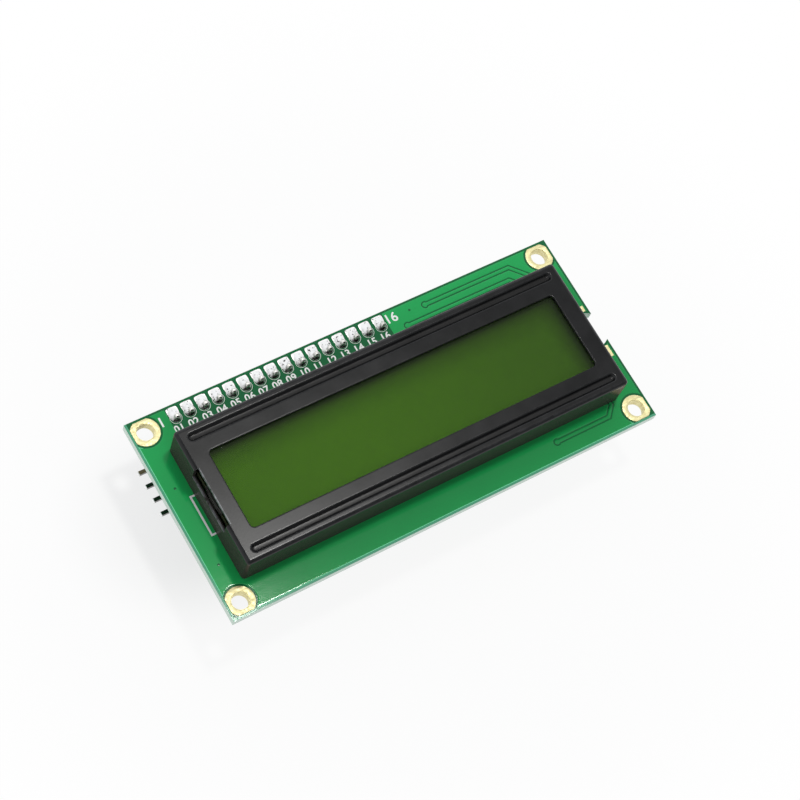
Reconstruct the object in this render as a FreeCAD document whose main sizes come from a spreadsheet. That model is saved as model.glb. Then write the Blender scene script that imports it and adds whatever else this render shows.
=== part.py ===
import FreeCAD, Part
import math
import os
import re
import Sketcher
from FreeCAD import Placement, Rotation, Vector

# Character display module with a serial adapter board soldered to its back. Millimetres.
# The origin is the centre of the display board's front face: X runs along the sixteen pins,
# Y towards them, and Z out of the display.

doc = FreeCAD.newDocument("CharacterDisplayModule")

sizes = {
    # display board
    "boardLength": 80.0,
    "boardWidth": 36.0,
    "boardThickness": 1.6,
    "mountHoleDiameter": 2.9,
    "mountHoleInset": 2.5,
    "notchWidth": 6.6,
    "notchDepth": 2.4,
    "notchRadius": 0.8,
    # row of square pins through both boards
    "pinPitch": 2.54,
    "pinWidth": 0.64,
    "pinBevel": 0.16,
    "pinHoleClearance": 0.1,
    "firstPinInset": 8.0,
    "pinRowInset": 2.5,
    "pinFrontReach": 1.4,
    "pinBackReach": 1.3,
    "stripHeight": 2.54,
    "stripWidth": 2.5,
    "stripNotch": 0.35,
    # solder on the display board
    "solderPadRadius": 0.85,
    "solderPadReach": 2.1,
    "solderHeight": 1.05,
    "solderCollar": 0.05,
    # pressed bezel
    "bezelEndMargin": 4.4,
    "bezelTopMargin": 6.55,
    "bezelFootMargin": 5.25,
    "bezelHeight": 6.7,
    "sheetThickness": 0.5,
    "foldRadius": 0.8,
    "cornerRadius": 1.1,
    "windowEndMargin": 3.4,
    "windowTopMargin": 5.13,
    "windowFootMargin": 4.97,
    "windowRadius": 0.7,
    "windowEdgeBevel": 0.1,
    "beadEndMargin": 1.6,
    "beadInset": 2.0,
    "beadWidth": 1.5,
    "beadDepth": 0.4,
    "beadWall": 0.3,
    "beadShoulder": 0.24,
    "sideSlotWidth": 10.2,
    "sideSlotFoot": 4.0,
    "sideSlotDepth": 0.7,
    "tabWidth": 2.2,
    "tabEndMargin": 5.6,
    "tabFoldRadius": 0.2,
    "tabFootLength": 1.7,
    "tabClearance": 0.2,
    "leadNotchClearance": 0.25,
    # glass, films and contact strips
    "glassClearance": 0.4,
    "glassThickness": 1.1,
    "glassLedge": 2.5,
    "filmThickness": 0.2,
    "filmOverlap": 1.1,
    "sealWidth": 5.2,
    "sealHeight": 1.5,
    "sealBulge": 0.3,
    "contactStripWidth": 1.9,
    "contactStripEndGap": 1.5,
    # backlight
    "guideSideGap": 0.3,
    "guideEndGap": 0.6,
    "guideEdgeRound": 0.3,
    "lampBoardThickness": 0.8,
    "lampBoardWidth": 15.0,
    "lampBoardRise": 0.3,
    "lampLength": 3.0,
    "lampDepth": 1.2,
    "lampHeight": 1.6,
    "lampSpacing": 4.8,
    "lampSink": 0.6,
    "lampClearance": 0.1,
    "leadWidth": 1.0,
    "leadThickness": 0.25,
    "leadSpacing": 9.4,
    "leadRise": 2.0,
    "leadEndInset": 2.0,
    "leadSolderRadius": 0.85,
    "leadSolderHeight": 0.45,
    # sealed chips and small parts on the back of the display board
    "sealedChipOffset": 14.5,
    "sealedChipDrop": 4.0,
    "sealedChipRadius": 6.6,
    "smallSealedChipRadius": 5.4,
    "sealedChipHeight": 1.3,
    "chipPartLength": 2.0,
    "chipPartWidth": 1.25,
    "chipEndLength": 0.4,
    "chipEndLip": 0.03,
    "resistorHeight": 0.5,
    "capacitorHeight": 0.9,
    "resistorPitch": 3.4,
    "boardPartInset": 11.8,
    "capacitorGap": 3.7,
    # adapter board
    "adapterSideMargin": 1.7,
    "adapterTopMargin": 2.0,
    "adapterWidth": 19.0,
    "adapterThickness": 1.6,
    "adapterPadRadius": 0.85,
    "adapterSolderHeight": 0.9,
    # four pins out of the adapter's left edge
    "sidePinReach": 6.3,
    "sidePinHoleInset": 4.34,
    "sidePinMiddle": 9.7,
    "sidePinBend": 0.5,
    "throughPinReach": 1.0,
    # bus chip
    "chipLength": 10.3,
    "chipWidth": 7.5,
    "chipHeight": 2.3,
    "chipStandoff": 0.12,
    "chipDraft": 6.0,
    "chipLeft": 14.5,
    "chipRowMiddle": 8.0,
    "chipLeadPitch": 1.27,
    "chipLeadWidth": 0.42,
    "chipLeadThickness": 0.25,
    "chipLeadReach": 1.4,
    "chipFootLength": 0.75,
    "chipDimpleDiameter": 1.2,
    "chipDimpleInset": 1.6,
    "chipDimpleDepth": 0.12,
    # contrast trimmer
    "trimmerRightInset": 9.3,
    "trimmerLength": 6.9,
    "trimmerWidth": 6.6,
    "trimmerHeight": 4.9,
    "trimmerFoot": 0.3,
    "trimmerWall": 0.45,
    "trimmerCorner": 0.4,
    "trimmerRimDiameter": 5.2,
    "trimmerRimDepth": 0.35,
    "elementThickness": 1.0,
    "rotorHeadRadius": 1.7,
    "rotorFlangeRadius": 2.4,
    "rotorFlangeHeight": 1.5,
    "rotorRecess": 0.5,
    "rotorClearance": 0.05,
    "rotorSlotWidth": 0.6,
    "rotorSlotDepth": 0.7,
    "trimmerPinDiameter": 0.5,
    "trimmerPinSpacing": 5.08,
    "trimmerPinDepth": 3.6,
    # jumper
    "jumperRightInset": 2.0,
    "jumperCapWidth": 2.46,
    "jumperCapLength": 4.9,
    "jumperCapHeight": 6.0,
    "jumperCapTop": 0.6,
    "jumperCapBevel": 0.25,
    "jumperCapWall": 0.4,
    "jumperPinGap": 0.25,
    "clipThickness": 0.2,
    "clipLength": 3.7,
    # lamp and transistor on the adapter
    "lampBaseHeight": 0.3,
    "lensHeight": 0.5,
    "lensInset": 0.35,
    "transistorLength": 2.9,
    "transistorWidth": 1.3,
    "transistorHeight": 0.95,
    "transistorStandoff": 0.05,
    "transistorLeadThickness": 0.13,
    "transistorLeadWidth": 0.42,
    "transistorLeadReach": 0.55,
    "transistorFootLength": 0.3,
    "transistorLeadSpacing": 1.9,
}

pinCount = 16
sidePinCount = 4
jumperPinCount = 2
tabCount = 4
lampCount = 3
chipLeadCount = 8
boardResistorCount = 5
boardCapacitorCount = 2
followSpacing = -1.0
looseness = 1e-4

sheet = doc.addObject("Spreadsheet::Sheet", "Sizes")
for row, (name, value) in enumerate(sizes.items(), start=1):
    sheet.set(f"A{row}", name)
    sheet.set(f"B{row}", str(value))
    sheet.setAlias(f"B{row}", name)
doc.recompute()

# Levels and places worked out from the sizes, written as formulas over the sheet's names.
bezelLength = "(boardLength - 2 * bezelEndMargin)"
bezelWidth = "(boardWidth - bezelTopMargin - bezelFootMargin)"
bezelMiddle = "((bezelFootMargin - bezelTopMargin) / 2)"
windowLength = f"({bezelLength} - 2 * windowEndMargin)"
windowTop = f"({bezelWidth} / 2 - windowTopMargin)"
windowFoot = f"(windowFootMargin - {bezelWidth} / 2)"
glassTop = "(bezelHeight - sheetThickness - beadDepth)"
rearGlassTop = f"({glassTop} - glassThickness)"
rearGlassFoot = f"({rearGlassTop} - glassThickness)"
guideTop = f"({rearGlassFoot} - filmThickness)"
frontGlassLength = f"({bezelLength} - 2 * sheetThickness - 2 * glassClearance)"
frontGlassWidth = f"({bezelWidth} - 2 * sheetThickness - 2 * glassClearance)"
rearGlassWidth = f"({frontGlassWidth} - 2 * glassLedge)"
guideLeft = f"(guideEndGap - {frontGlassLength} / 2)"
lampBoardRight = f"({frontGlassLength} / 2 - guideEndGap)"
lampBoardLeft = f"({lampBoardRight} - lampBoardThickness)"
lampMouth = f"({lampBoardLeft} - lampDepth)"
guideRight = f"({lampMouth} + lampSink)"
tabLineY = f"({bezelWidth} / 2 - sheetThickness / 2)"
firstTabX = f"(tabEndMargin - {bezelLength} / 2)"
tabPitch = f"(({bezelLength} - 2 * tabEndMargin) / {tabCount - 1})"
firstPinX = "(firstPinInset - boardLength / 2)"
pinRowY = "(boardWidth / 2 - pinRowInset)"
pinHole = "(pinWidth * sqrt(2) + pinHoleClearance)"
solderTop = "(pinWidth * sqrt(2) / 2 + solderCollar)"
boardBack = "(-boardThickness)"
adapterFront = "(-boardThickness - stripHeight)"
adapterBack = "(-boardThickness - stripHeight - adapterThickness)"
adapterLeft = f"({firstPinX} - adapterSideMargin)"
adapterLength = f"({pinCount - 1} * pinPitch + 2 * adapterSideMargin)"
adapterRight = f"({adapterLeft} + {adapterLength})"
adapterTop = f"({pinRowY} + adapterTopMargin)"
adapterFoot = f"({adapterTop} - adapterWidth)"
partRowY = f"({adapterFoot} + chipRowMiddle)"
sidePinY = f"({adapterFoot} + sidePinMiddle)"
sidePinHoleX = f"({adapterLeft} + sidePinHoleInset)"
jumperX = f"({adapterRight} - jumperRightInset)"
trimmerX = f"({adapterRight} - trimmerRightInset)"
leadEnd = "(boardLength / 2 - leadEndInset)"
chipX = f"({adapterLeft} + chipLeft + chipLength / 2)"
upsideDown = Rotation(Vector(1, 0, 0), 180)


def formula(text):
    return re.sub(r"[A-Za-z]+", lambda word: "Sizes." + word[0] if word[0] in sizes else word[0], text)


def size(text):
    return float(sheet.evalExpression(formula(text)))


def bind(thing, **formulas):
    for name, text in formulas.items():
        thing.setExpression(name, formula(text))


def place(thing, x="0", y="0", z="0", turn=None):
    thing.Placement = Placement(Vector(), turn or Rotation())
    for axis, text in zip("xyz", (x, y, z)):
        thing.setExpression(f"Placement.Base.{axis}", formula(text))
    return thing


def newBody(label, x="0", y="0", z="0", turn=None):
    body = doc.addObject("PartDesign::Body", label)
    body.Label = label
    return place(body, x, y, z, turn)


def originPart(body, role):
    return next(part for part in body.Origin.OriginFeatures if part.Role == role)


def sketchOn(body, name, plane="XY_Plane", offset="0"):
    sketch = body.newObject("Sketcher::SketchObject", name)
    sketch.AttachmentSupport = [(originPart(body, plane), "")]
    sketch.MapMode = "FlatFace"
    sketch.setExpression("AttachmentOffset.Base.z", formula(offset))
    return sketch


# A closed outline of straight lines, each corner held at its two formulas.
def outline(sketch, corners):
    first = sketch.GeometryCount
    points = [Vector(size(x), size(y), 0) for x, y in corners]
    count = len(points)
    for n in range(count):
        sketch.addGeometry(Part.LineSegment(points[n], points[(n + 1) % count]), False)
    for n in range(count):
        sketch.addConstraint(Sketcher.Constraint("Coincident", first + n, 2, first + (n + 1) % count, 1))
    for n, (x, y) in enumerate(corners):
        across = sketch.addConstraint(Sketcher.Constraint("DistanceX", -1, 1, first + n, 1, points[n].x))
        sketch.setExpression(f"Constraints[{across}]", formula(x))
        along = sketch.addConstraint(Sketcher.Constraint("DistanceY", -1, 1, first + n, 1, points[n].y))
        sketch.setExpression(f"Constraints[{along}]", formula(y))


def rectangle(sketch, left, right, foot, top):
    outline(sketch, [(left, foot), (right, foot), (right, top), (left, top)])


def centredRectangle(sketch, length, width, x="0", y="0"):
    left, right = f"{x} - {length} / 2", f"{x} + {length} / 2"
    rectangle(sketch, left, right, f"{y} - {width} / 2", f"{y} + {width} / 2")


def circle(sketch, diameter, x="0", y="0"):
    centre = Vector(size(x), size(y), 0)
    index = sketch.addGeometry(Part.Circle(centre, Vector(0, 0, 1), size(diameter) / 2), False)
    for kind, text, value in (("DistanceX", x, centre.x), ("DistanceY", y, centre.y)):
        held = sketch.addConstraint(Sketcher.Constraint(kind, -1, 1, index, 3, value))
        sketch.setExpression(f"Constraints[{held}]", formula(text))
    held = sketch.addConstraint(Sketcher.Constraint("Diameter", index, size(diameter)))
    sketch.setExpression(f"Constraints[{held}]", formula(diameter))


# Eight equal sides about a centre, or five of them run on along Y to a straight end.
def eightSided(sketch, halfWidth, x="0", y="0", reach=None):
    half, short = f"({halfWidth})", f"({halfWidth}) * tan(22.5)"
    corners = [(f"-{half}", f"-{short}"), (f"-{short}", f"-{half}"), (short, f"-{half}"), (half, f"-{short}")]
    if reach:
        corners += [(half, reach), (f"-{half}", reach)]
    else:
        corners += [(half, short), (short, half), (f"-{short}", half), (f"-{half}", short)]
    outline(sketch, [(f"{x} + {across}", f"{y} + {along}") for across, along in corners])


# A shallow bow over a chord on the X axis.
def shallowArc(sketch, chord, height):
    half, rise = size(chord) / 2, size(height)
    curve = (half ** 2 + rise ** 2) / (2 * rise)
    start = math.asin((curve - rise) / curve)
    sketch.addGeometry(Part.LineSegment(Vector(-half, 0, 0), Vector(half, 0, 0)), False)
    rim = Part.Circle(Vector(0, rise - curve, 0), Vector(0, 0, 1), curve)
    sketch.addGeometry(Part.ArcOfCircle(rim, start, math.pi - start), False)
    sketch.addConstraint(Sketcher.Constraint("Coincident", 0, 2, 1, 1))
    sketch.addConstraint(Sketcher.Constraint("Coincident", 1, 2, 0, 1))
    sketch.addConstraint(Sketcher.Constraint("PointOnObject", 1, 3, -2))
    held = sketch.addConstraint(Sketcher.Constraint("DistanceX", 0, 1, 0, 2, 2 * half))
    sketch.setExpression(f"Constraints[{held}]", formula(chord))
    sketch.addConstraint(Sketcher.Constraint("Horizontal", 0))
    sketch.addConstraint(Sketcher.Constraint("PointOnObject", 0, 1, -1))
    radius = f"(({chord}) ^ 2 / 4 + ({height}) ^ 2) / (2 * {height})"
    held = sketch.addConstraint(Sketcher.Constraint("Radius", 1, curve))
    sketch.setExpression(f"Constraints[{held}]", formula(radius))


# A low dome's side, from its middle out: its foot, an arc and its axis.
def domeSide(sketch, radius, height):
    foot, rise = size(radius), size(height)
    curve = (foot ** 2 + rise ** 2) / (2 * rise)
    corners = [("0", "0"), (radius, "0"), ("0", height)]
    sketch.addGeometry(Part.LineSegment(Vector(0, 0, 0), Vector(foot, 0, 0)), False)
    rim = Part.Circle(Vector(0, rise - curve, 0), Vector(0, 0, 1), curve)
    sketch.addGeometry(Part.ArcOfCircle(rim, math.asin((curve - rise) / curve), math.pi / 2), False)
    sketch.addGeometry(Part.LineSegment(Vector(0, rise, 0), Vector(0, 0, 0)), False)
    for n in range(3):
        sketch.addConstraint(Sketcher.Constraint("Coincident", n, 2, (n + 1) % 3, 1))
    for n, (x, y) in enumerate(corners):
        for kind, text in (("DistanceX", x), ("DistanceY", y)):
            held = sketch.addConstraint(Sketcher.Constraint(kind, -1, 1, n, 1, size(text)))
            sketch.setExpression(f"Constraints[{held}]", formula(text))
    sketch.addConstraint(Sketcher.Constraint("PointOnObject", 1, 3, -2))


# A slot with round ends: two arcs about its end centres and the two lines between them.
def roundedSlot(sketch, start, end, radius):
    centres = [Vector(size(x), size(y), 0) for x, y in (start, end)]
    along = centres[1].sub(centres[0])
    angle = math.atan2(along.y, along.x)
    reach = size(radius)
    first = sketch.GeometryCount
    for n, turn in enumerate((math.pi / 2, -math.pi / 2)):
        rim = Part.Circle(centres[n], Vector(0, 0, 1), reach)
        sketch.addGeometry(Part.ArcOfCircle(rim, angle + turn, angle + turn + math.pi), False)
    side = Vector(-math.sin(angle), math.cos(angle), 0).multiply(reach)
    sketch.addGeometry(Part.LineSegment(centres[0].sub(side), centres[1].sub(side)), False)
    sketch.addGeometry(Part.LineSegment(centres[1].add(side), centres[0].add(side)), False)
    for arc, arcEnd, line, lineEnd in ((0, 2, 2, 1), (2, 2, 1, 1), (1, 2, 3, 1), (3, 2, 0, 1)):
        sketch.addConstraint(Sketcher.Constraint("Tangent", first + arc, arcEnd, first + line, lineEnd))
    for n, (x, y) in enumerate((start, end)):
        for kind, text, value in (("DistanceX", x, centres[n].x), ("DistanceY", y, centres[n].y)):
            held = sketch.addConstraint(Sketcher.Constraint(kind, -1, 1, first + n, 3, value))
            sketch.setExpression(f"Constraints[{held}]", formula(text))
    held = sketch.addConstraint(Sketcher.Constraint("Radius", first, reach))
    sketch.setExpression(f"Constraints[{held}]", formula(radius))


def pad(body, sketch, length, backwards=False, taper=0.0, name="raised"):
    feature = body.newObject("PartDesign::Pad", name)
    feature.Profile = sketch
    feature.Reversed = backwards
    bind(feature, Length=length)
    if taper:
        bind(feature, TaperAngle=taper)
    doc.recompute()
    return feature


def pocket(body, sketch, depth=None, backwards=False, name="cut"):
    feature = body.newObject("PartDesign::Pocket", name)
    feature.Profile = sketch
    feature.Reversed = backwards
    if depth is None:
        feature.Type = "ThroughAll"
    else:
        bind(feature, Length=depth)
    doc.recompute()
    return feature


def turned(body, sketch, name="turned"):
    feature = body.newObject("PartDesign::Revolution", name)
    feature.Profile = sketch
    feature.ReferenceAxis = (originPart(body, "Z_Axis"), [""])
    feature.Angle = 360
    doc.recompute()
    return feature


# Copies of features in a row along one axis of the body, or in a grid along two. Each gap of the second
# row has to be told to follow its spacing.
def repeat(body, features, count, spacing, axis="X_Axis", count2=1, spacing2=None, axis2="Y_Axis"):
    feature = body.newObject("PartDesign::LinearPattern", "row")
    feature.Originals = features
    feature.Direction = (originPart(body, axis), [""])
    feature.Occurrences = count
    feature.Mode = "Spacing"
    bind(feature, Offset=spacing)
    if count2 > 1:
        feature.Direction2 = (originPart(body, axis2), [""])
        feature.Occurrences2 = count2
        feature.Mode2 = "Spacing"
        bind(feature, Offset2=spacing2)
        feature.Spacings2 = [followSpacing] * (count2 - 1)
    body.Tip = feature
    doc.recompute()
    return feature


def mirrored(body, features, plane):
    feature = body.newObject("PartDesign::Mirrored", "mirrored")
    feature.Originals = features
    feature.MirrorPlane = (originPart(body, plane), [""])
    body.Tip = feature
    doc.recompute()
    return feature


def near(value, wanted):
    return abs(value - wanted) < looseness


def edgesWhere(feature, test):
    return [f"Edge{n}" for n, edge in enumerate(feature.Shape.Edges, start=1) if test(edge)]


def flatAt(edge, height):
    box = edge.BoundBox
    return near(box.ZMin, height) and near(box.ZMax, height)


def upright(edge):
    box = edge.BoundBox
    return box.ZLength > looseness and box.XLength < looseness and box.YLength < looseness


def rounded(body, feature, test, radius, name="rounded"):
    fillet = body.newObject("PartDesign::Fillet", name)
    fillet.Base = (feature, edgesWhere(feature, test))
    bind(fillet, Radius=radius)
    doc.recompute()
    return fillet


def bevelled(body, feature, test, width, name="bevelled"):
    chamfer = body.newObject("PartDesign::Chamfer", name)
    chamfer.Base = (feature, edgesWhere(feature, test))
    bind(chamfer, Size=width)
    doc.recompute()
    return chamfer


def block(name, left, foot, low, length, width, height):
    box = doc.addObject("Part::Box", name)
    box.Label = name
    bind(box, Length=length, Width=width, Height=height)
    return place(box, left, foot, low)


def centredBlock(name, x, y, low, length, width, height):
    return block(name, f"{x} - {length} / 2", f"{y} - {width} / 2", low, length, width, height)


def group(label, pieces):
    compound = doc.addObject("Part::Compound", label)
    compound.Label = label
    compound.Links = pieces
    return compound


# The green display board: four mounting holes, the pin row, the bezel's tab slots and the open notch.
def makeMainBoard():
    body = newBody("main_board")
    plan = sketchOn(body, "boardPlan", offset=boardBack)
    centredRectangle(plan, "boardLength", "boardWidth")
    pad(body, plan, "boardThickness")

    corner = sketchOn(body, "mountHole")
    circle(corner, "mountHoleDiameter", "mountHoleInset - boardLength / 2", "mountHoleInset - boardWidth / 2")
    hole = pocket(body, corner)
    acrossBoard, alongBoard = "boardLength - 2 * mountHoleInset", "boardWidth - 2 * mountHoleInset"
    repeat(body, [hole], 2, acrossBoard, count2=2, spacing2=alongBoard)

    drill = sketchOn(body, "pinHole")
    eightSided(drill, f"{pinHole} / 2", firstPinX, pinRowY)
    repeat(body, [pocket(body, drill)], pinCount, "pinPitch")

    slot = sketchOn(body, "tabSlot")
    slotLength, slotWidth = "(tabWidth + 2 * tabClearance)", "(sheetThickness + 2 * tabClearance)"
    centredRectangle(slot, slotLength, slotWidth, firstTabX, f"{bezelMiddle} - {tabLineY}")
    repeat(body, [pocket(body, slot)], tabCount, tabPitch, count2=2, spacing2=f"2 * {tabLineY}")

    bay = sketchOn(body, "notch")
    rectangle(bay, "boardLength / 2 - notchDepth", "boardLength / 2 + notchDepth", "-notchWidth / 2",
              "notchWidth / 2")
    cut = pocket(body, bay)
    innerX = size("boardLength / 2 - notchDepth")
    rounded(body, cut, lambda edge: upright(edge) and near(edge.CenterOfMass.x, innerX), "notchRadius")
    return body


# The bezel, pressed from one sheet: folded walls, two stiffening grooves, the window, a slot in the left
# wall beside the glass, and eight tabs that pass through the board and are folded flat behind it.
def makeBezel():
    body = newBody("bezel", y=bezelMiddle)
    plan = sketchOn(body, "blank")
    centredRectangle(plan, bezelLength, bezelWidth)
    blank = pad(body, plan, "bezelHeight", name="drawnBox")
    corners = rounded(body, blank, upright, "cornerRadius", "cornerFolds")
    top = size("bezelHeight")
    folded = rounded(body, corners, lambda edge: flatAt(edge, top), "foldRadius", "topFolds")

    walls = body.newObject("PartDesign::Thickness", "sheetWalls")
    openFace = next(n for n, face in enumerate(folded.Shape.Faces, start=1) if near(face.BoundBox.ZMax, 0))
    walls.Base = (folded, [f"Face{openFace}"])
    walls.Mode = "Skin"
    walls.Join = "Intersection"
    walls.Reversed = True
    bind(walls, Value="sheetThickness")
    doc.recompute()

    opening = sketchOn(body, "windowPlan", offset="bezelHeight")
    rectangle(opening, f"-{windowLength} / 2", f"{windowLength} / 2", windowFoot, windowTop)
    cut = pocket(body, opening, "2 * sheetThickness", name="window")
    halfWindow = size(f"{windowLength} / 2")
    cut = rounded(body, cut, lambda edge: upright(edge) and near(abs(edge.CenterOfMass.x), halfWindow),
                  "windowRadius", "windowCorners")

    lineY = f"({bezelWidth} / 2 - beadInset)"
    halfBead = f"({bezelLength} / 2 - beadEndMargin - beadWidth / 2)"
    under = sketchOn(body, "beadUnderside", offset="bezelHeight - sheetThickness")
    roundedSlot(under, (f"-{halfBead}", lineY), (halfBead, lineY), "beadWidth / 2 + beadWall")
    ridge = pad(body, under, "beadDepth", backwards=True, name="beadRidge")
    groove = sketchOn(body, "beadGroove", offset="bezelHeight")
    roundedSlot(groove, (f"-{halfBead}", lineY), (halfBead, lineY), "beadWidth / 2")
    trough = pocket(body, groove, "beadDepth", name="beadTrough")
    both = mirrored(body, [ridge, trough], "XZ_Plane")

    grooveY, grooveRadius = size(lineY), size("beadWidth / 2")
    windowReach = max(abs(size(windowTop)), abs(size(windowFoot)))

    def onGroove(edge):
        inBand = abs(abs(edge.CenterOfMass.y) - grooveY) < grooveRadius + looseness
        return inBand and edge.BoundBox.YLength < 2.1 * grooveRadius

    both = bevelled(body, both, lambda edge: flatAt(edge, top) and onGroove(edge), "beadShoulder", "shoulders")
    bevelled(body, both, lambda edge: flatAt(edge, top) and abs(edge.CenterOfMass.y) < windowReach + looseness
             and abs(edge.CenterOfMass.x) < halfWindow + looseness, "windowEdgeBevel", "windowEdge")

    side = sketchOn(body, "sideSlot", "YZ_Plane", offset=f"-{bezelLength} / 2")
    rectangle(side, "-sideSlotWidth / 2", "sideSlotWidth / 2", "sideSlotFoot", "bezelHeight + sheetThickness")
    pocket(body, side, "sideSlotDepth", backwards=True, name="leftSlot")

    mouth = sketchOn(body, "leadNotch", "YZ_Plane", offset=f"{bezelLength} / 2")
    mouthY, mouthWidth = "-leadSpacing / 2", "(leadWidth + 2 * leadNotchClearance)"
    rectangle(mouth, f"{mouthY} - {mouthWidth} / 2", f"{mouthY} + {mouthWidth} / 2", "-sheetThickness",
              "leadThickness + leadNotchClearance")
    notch = pocket(body, mouth, "2 * sheetThickness", name="leadNotches")
    repeat(body, [notch], 2, "leadSpacing", axis="Y_Axis")

    # Each tab runs down from the wall, through its slot, and folds outwards to lie on the board's back.
    inner, outer = f"({bezelWidth} / 2 - sheetThickness)", f"({bezelWidth} / 2)"
    footEnd, foldLevel = f"({outer} + tabFootLength)", "(-boardThickness - sheetThickness)"
    tabCorners = [(inner, "0"), (inner, foldLevel), (footEnd, foldLevel), (footEnd, boardBack), (outer, boardBack),
                  (outer, "0")]
    for name, sign in (("upperTab", ""), ("lowerTab", "-")):
        tabSide = sketchOn(body, name, "YZ_Plane", offset=f"({firstTabX} - tabWidth / 2)")
        outline(tabSide, [(f"{sign}{y}", z) for y, z in tabCorners])
        row = repeat(body, [pad(body, tabSide, "tabWidth", name=f"{name}Strip")], tabCount, tabPitch)
    foldZ, heelY = size(foldLevel), size(inner)
    rounded(body, row, lambda edge: flatAt(edge, foldZ) and near(abs(edge.CenterOfMass.y), heelY)
            and edge.BoundBox.YLength < looseness, "tabFoldRadius", "tabFolds")
    return body


# The display cell: a film, two sheets of glass and a second film, clamped under the bezel's grooves.
def makeDisplayCell():
    filmLength, filmWidth = f"({windowLength} + 2 * filmOverlap)", f"({windowTop} - {windowFoot} + 2 * filmOverlap)"
    filmMiddle = f"({bezelMiddle} + ({windowTop} + {windowFoot}) / 2)"
    glassLength = frontGlassLength
    cell = [
        centredBlock("front_polariser", "0", filmMiddle, glassTop, filmLength, filmWidth, "filmThickness"),
        centredBlock("front_glass", "0", bezelMiddle, rearGlassTop, glassLength, frontGlassWidth, "glassThickness"),
        centredBlock("rear_glass", "0", bezelMiddle, rearGlassFoot, glassLength, rearGlassWidth, "glassThickness"),
        centredBlock("rear_polariser", "0", filmMiddle, guideTop, filmLength, filmWidth, "filmThickness"),
    ]
    # The resin plug over the cell's filling port, on the left edge of the glass.
    plug = newBody("glass_end_seal", f"-{frontGlassLength} / 2", bezelMiddle, f"{rearGlassTop} - sealHeight / 2",
                   Rotation(Vector(0, 0, 1), 90))
    bulge = sketchOn(plug, "bulge")
    shallowArc(bulge, "sealWidth", "sealBulge")
    pad(plug, bulge, "sealHeight")
    return cell + [plug]


# The two striped rubber strips that carry the signals from the board up to the glass ledges.
def makeContactStrips():
    length = f"({frontGlassLength} - 2 * contactStripEndGap)"
    lineY = f"(({frontGlassWidth} - glassLedge) / 2)"
    strips = []
    for label, sign in (("upper_contact_strip", "+"), ("lower_contact_strip", "-")):
        y = f"({bezelMiddle} {sign} {lineY})"
        strips.append(centredBlock(label, "0", y, "0", length, "contactStripWidth", rearGlassTop))
    return strips


# The edge-lit backlight: a white film, a clear guide with three bays, and a lamp strip with two leads.
def makeBacklight():
    guideWidth = f"({rearGlassWidth} - 2 * guideSideGap)"
    guideLength = f"({guideRight} - {guideLeft})"
    film = block("reflector_film", guideLeft, f"{bezelMiddle} - {guideWidth} / 2", "0", guideLength, guideWidth,
                 "filmThickness")

    guide = newBody("light_guide", y=bezelMiddle, z="filmThickness")
    plan = sketchOn(guide, "guidePlan")
    rectangle(plan, guideLeft, guideRight, f"-{guideWidth} / 2", f"{guideWidth} / 2")
    slab = pad(guide, plan, f"{guideTop} - filmThickness")
    slab = rounded(guide, slab, upright, "guideEdgeRound")
    bayPlan = sketchOn(guide, "lampBay", offset=f"{guideTop} - filmThickness")
    bayWidth = "(lampLength + 2 * lampClearance)"
    rectangle(bayPlan, f"{lampMouth} - lampClearance", f"{guideRight} + lampDepth",
              f"-lampSpacing - {bayWidth} / 2", f"-lampSpacing + {bayWidth} / 2")
    bay = pocket(guide, bayPlan)
    repeat(guide, [bay], lampCount, "lampSpacing", axis="Y_Axis")

    strip = centredBlock("lamp_board", f"({lampBoardLeft} + lampBoardThickness / 2)", bezelMiddle, "lampBoardRise",
                         "lampBoardThickness", "lampBoardWidth", f"({guideTop} - 2 * lampBoardRise)")

    lamps = newBody("backlight_lamps", y=bezelMiddle)
    lampPlan = sketchOn(lamps, "lampPlan", offset=f"{guideTop} / 2 - lampHeight / 2")
    rectangle(lampPlan, lampMouth, lampBoardLeft, "-lampSpacing - lampLength / 2", "-lampSpacing + lampLength / 2")
    repeat(lamps, [pad(lamps, lampPlan, "lampHeight")], lampCount, "lampSpacing", axis="Y_Axis")

    leads = newBody("backlight_leads", y=bezelMiddle)
    bend = sketchOn(leads, "leadSide", "XZ_Plane", offset="leadSpacing / 2 - leadWidth / 2")
    outer = f"({lampBoardRight} + leadThickness)"
    outline(bend, [(lampBoardRight, "0"), (leadEnd, "0"), (leadEnd, "leadThickness"),
                   (outer, "leadThickness"), (outer, "leadRise"), (lampBoardRight, "leadRise")])
    foot = pad(leads, bend, "leadWidth")
    repeat(leads, [foot], 2, "leadSpacing", axis="Y_Axis")

    solder = newBody("backlight_solder", f"{leadEnd} - leadSolderRadius / 2", f"{bezelMiddle} - leadSpacing / 2")
    heap = solderHeap(solder, "heap", (("0", "leadSolderRadius", None),
                                       ("0.6 * leadSolderHeight", "0.7 * leadSolderRadius", None),
                                       ("leadSolderHeight", "0.3 * leadSolderRadius", None)))
    lead = sketchOn(solder, "leadCore", offset="leadThickness")
    rectangle(lead, "-2 * leadSolderRadius", "leadSolderRadius / 2", "-leadWidth / 2", "leadWidth / 2")
    repeat(solder, [heap, pocket(solder, lead)], 2, "leadSpacing", axis="Y_Axis")
    return [film, guide, strip, lamps, leads, solder]


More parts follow.
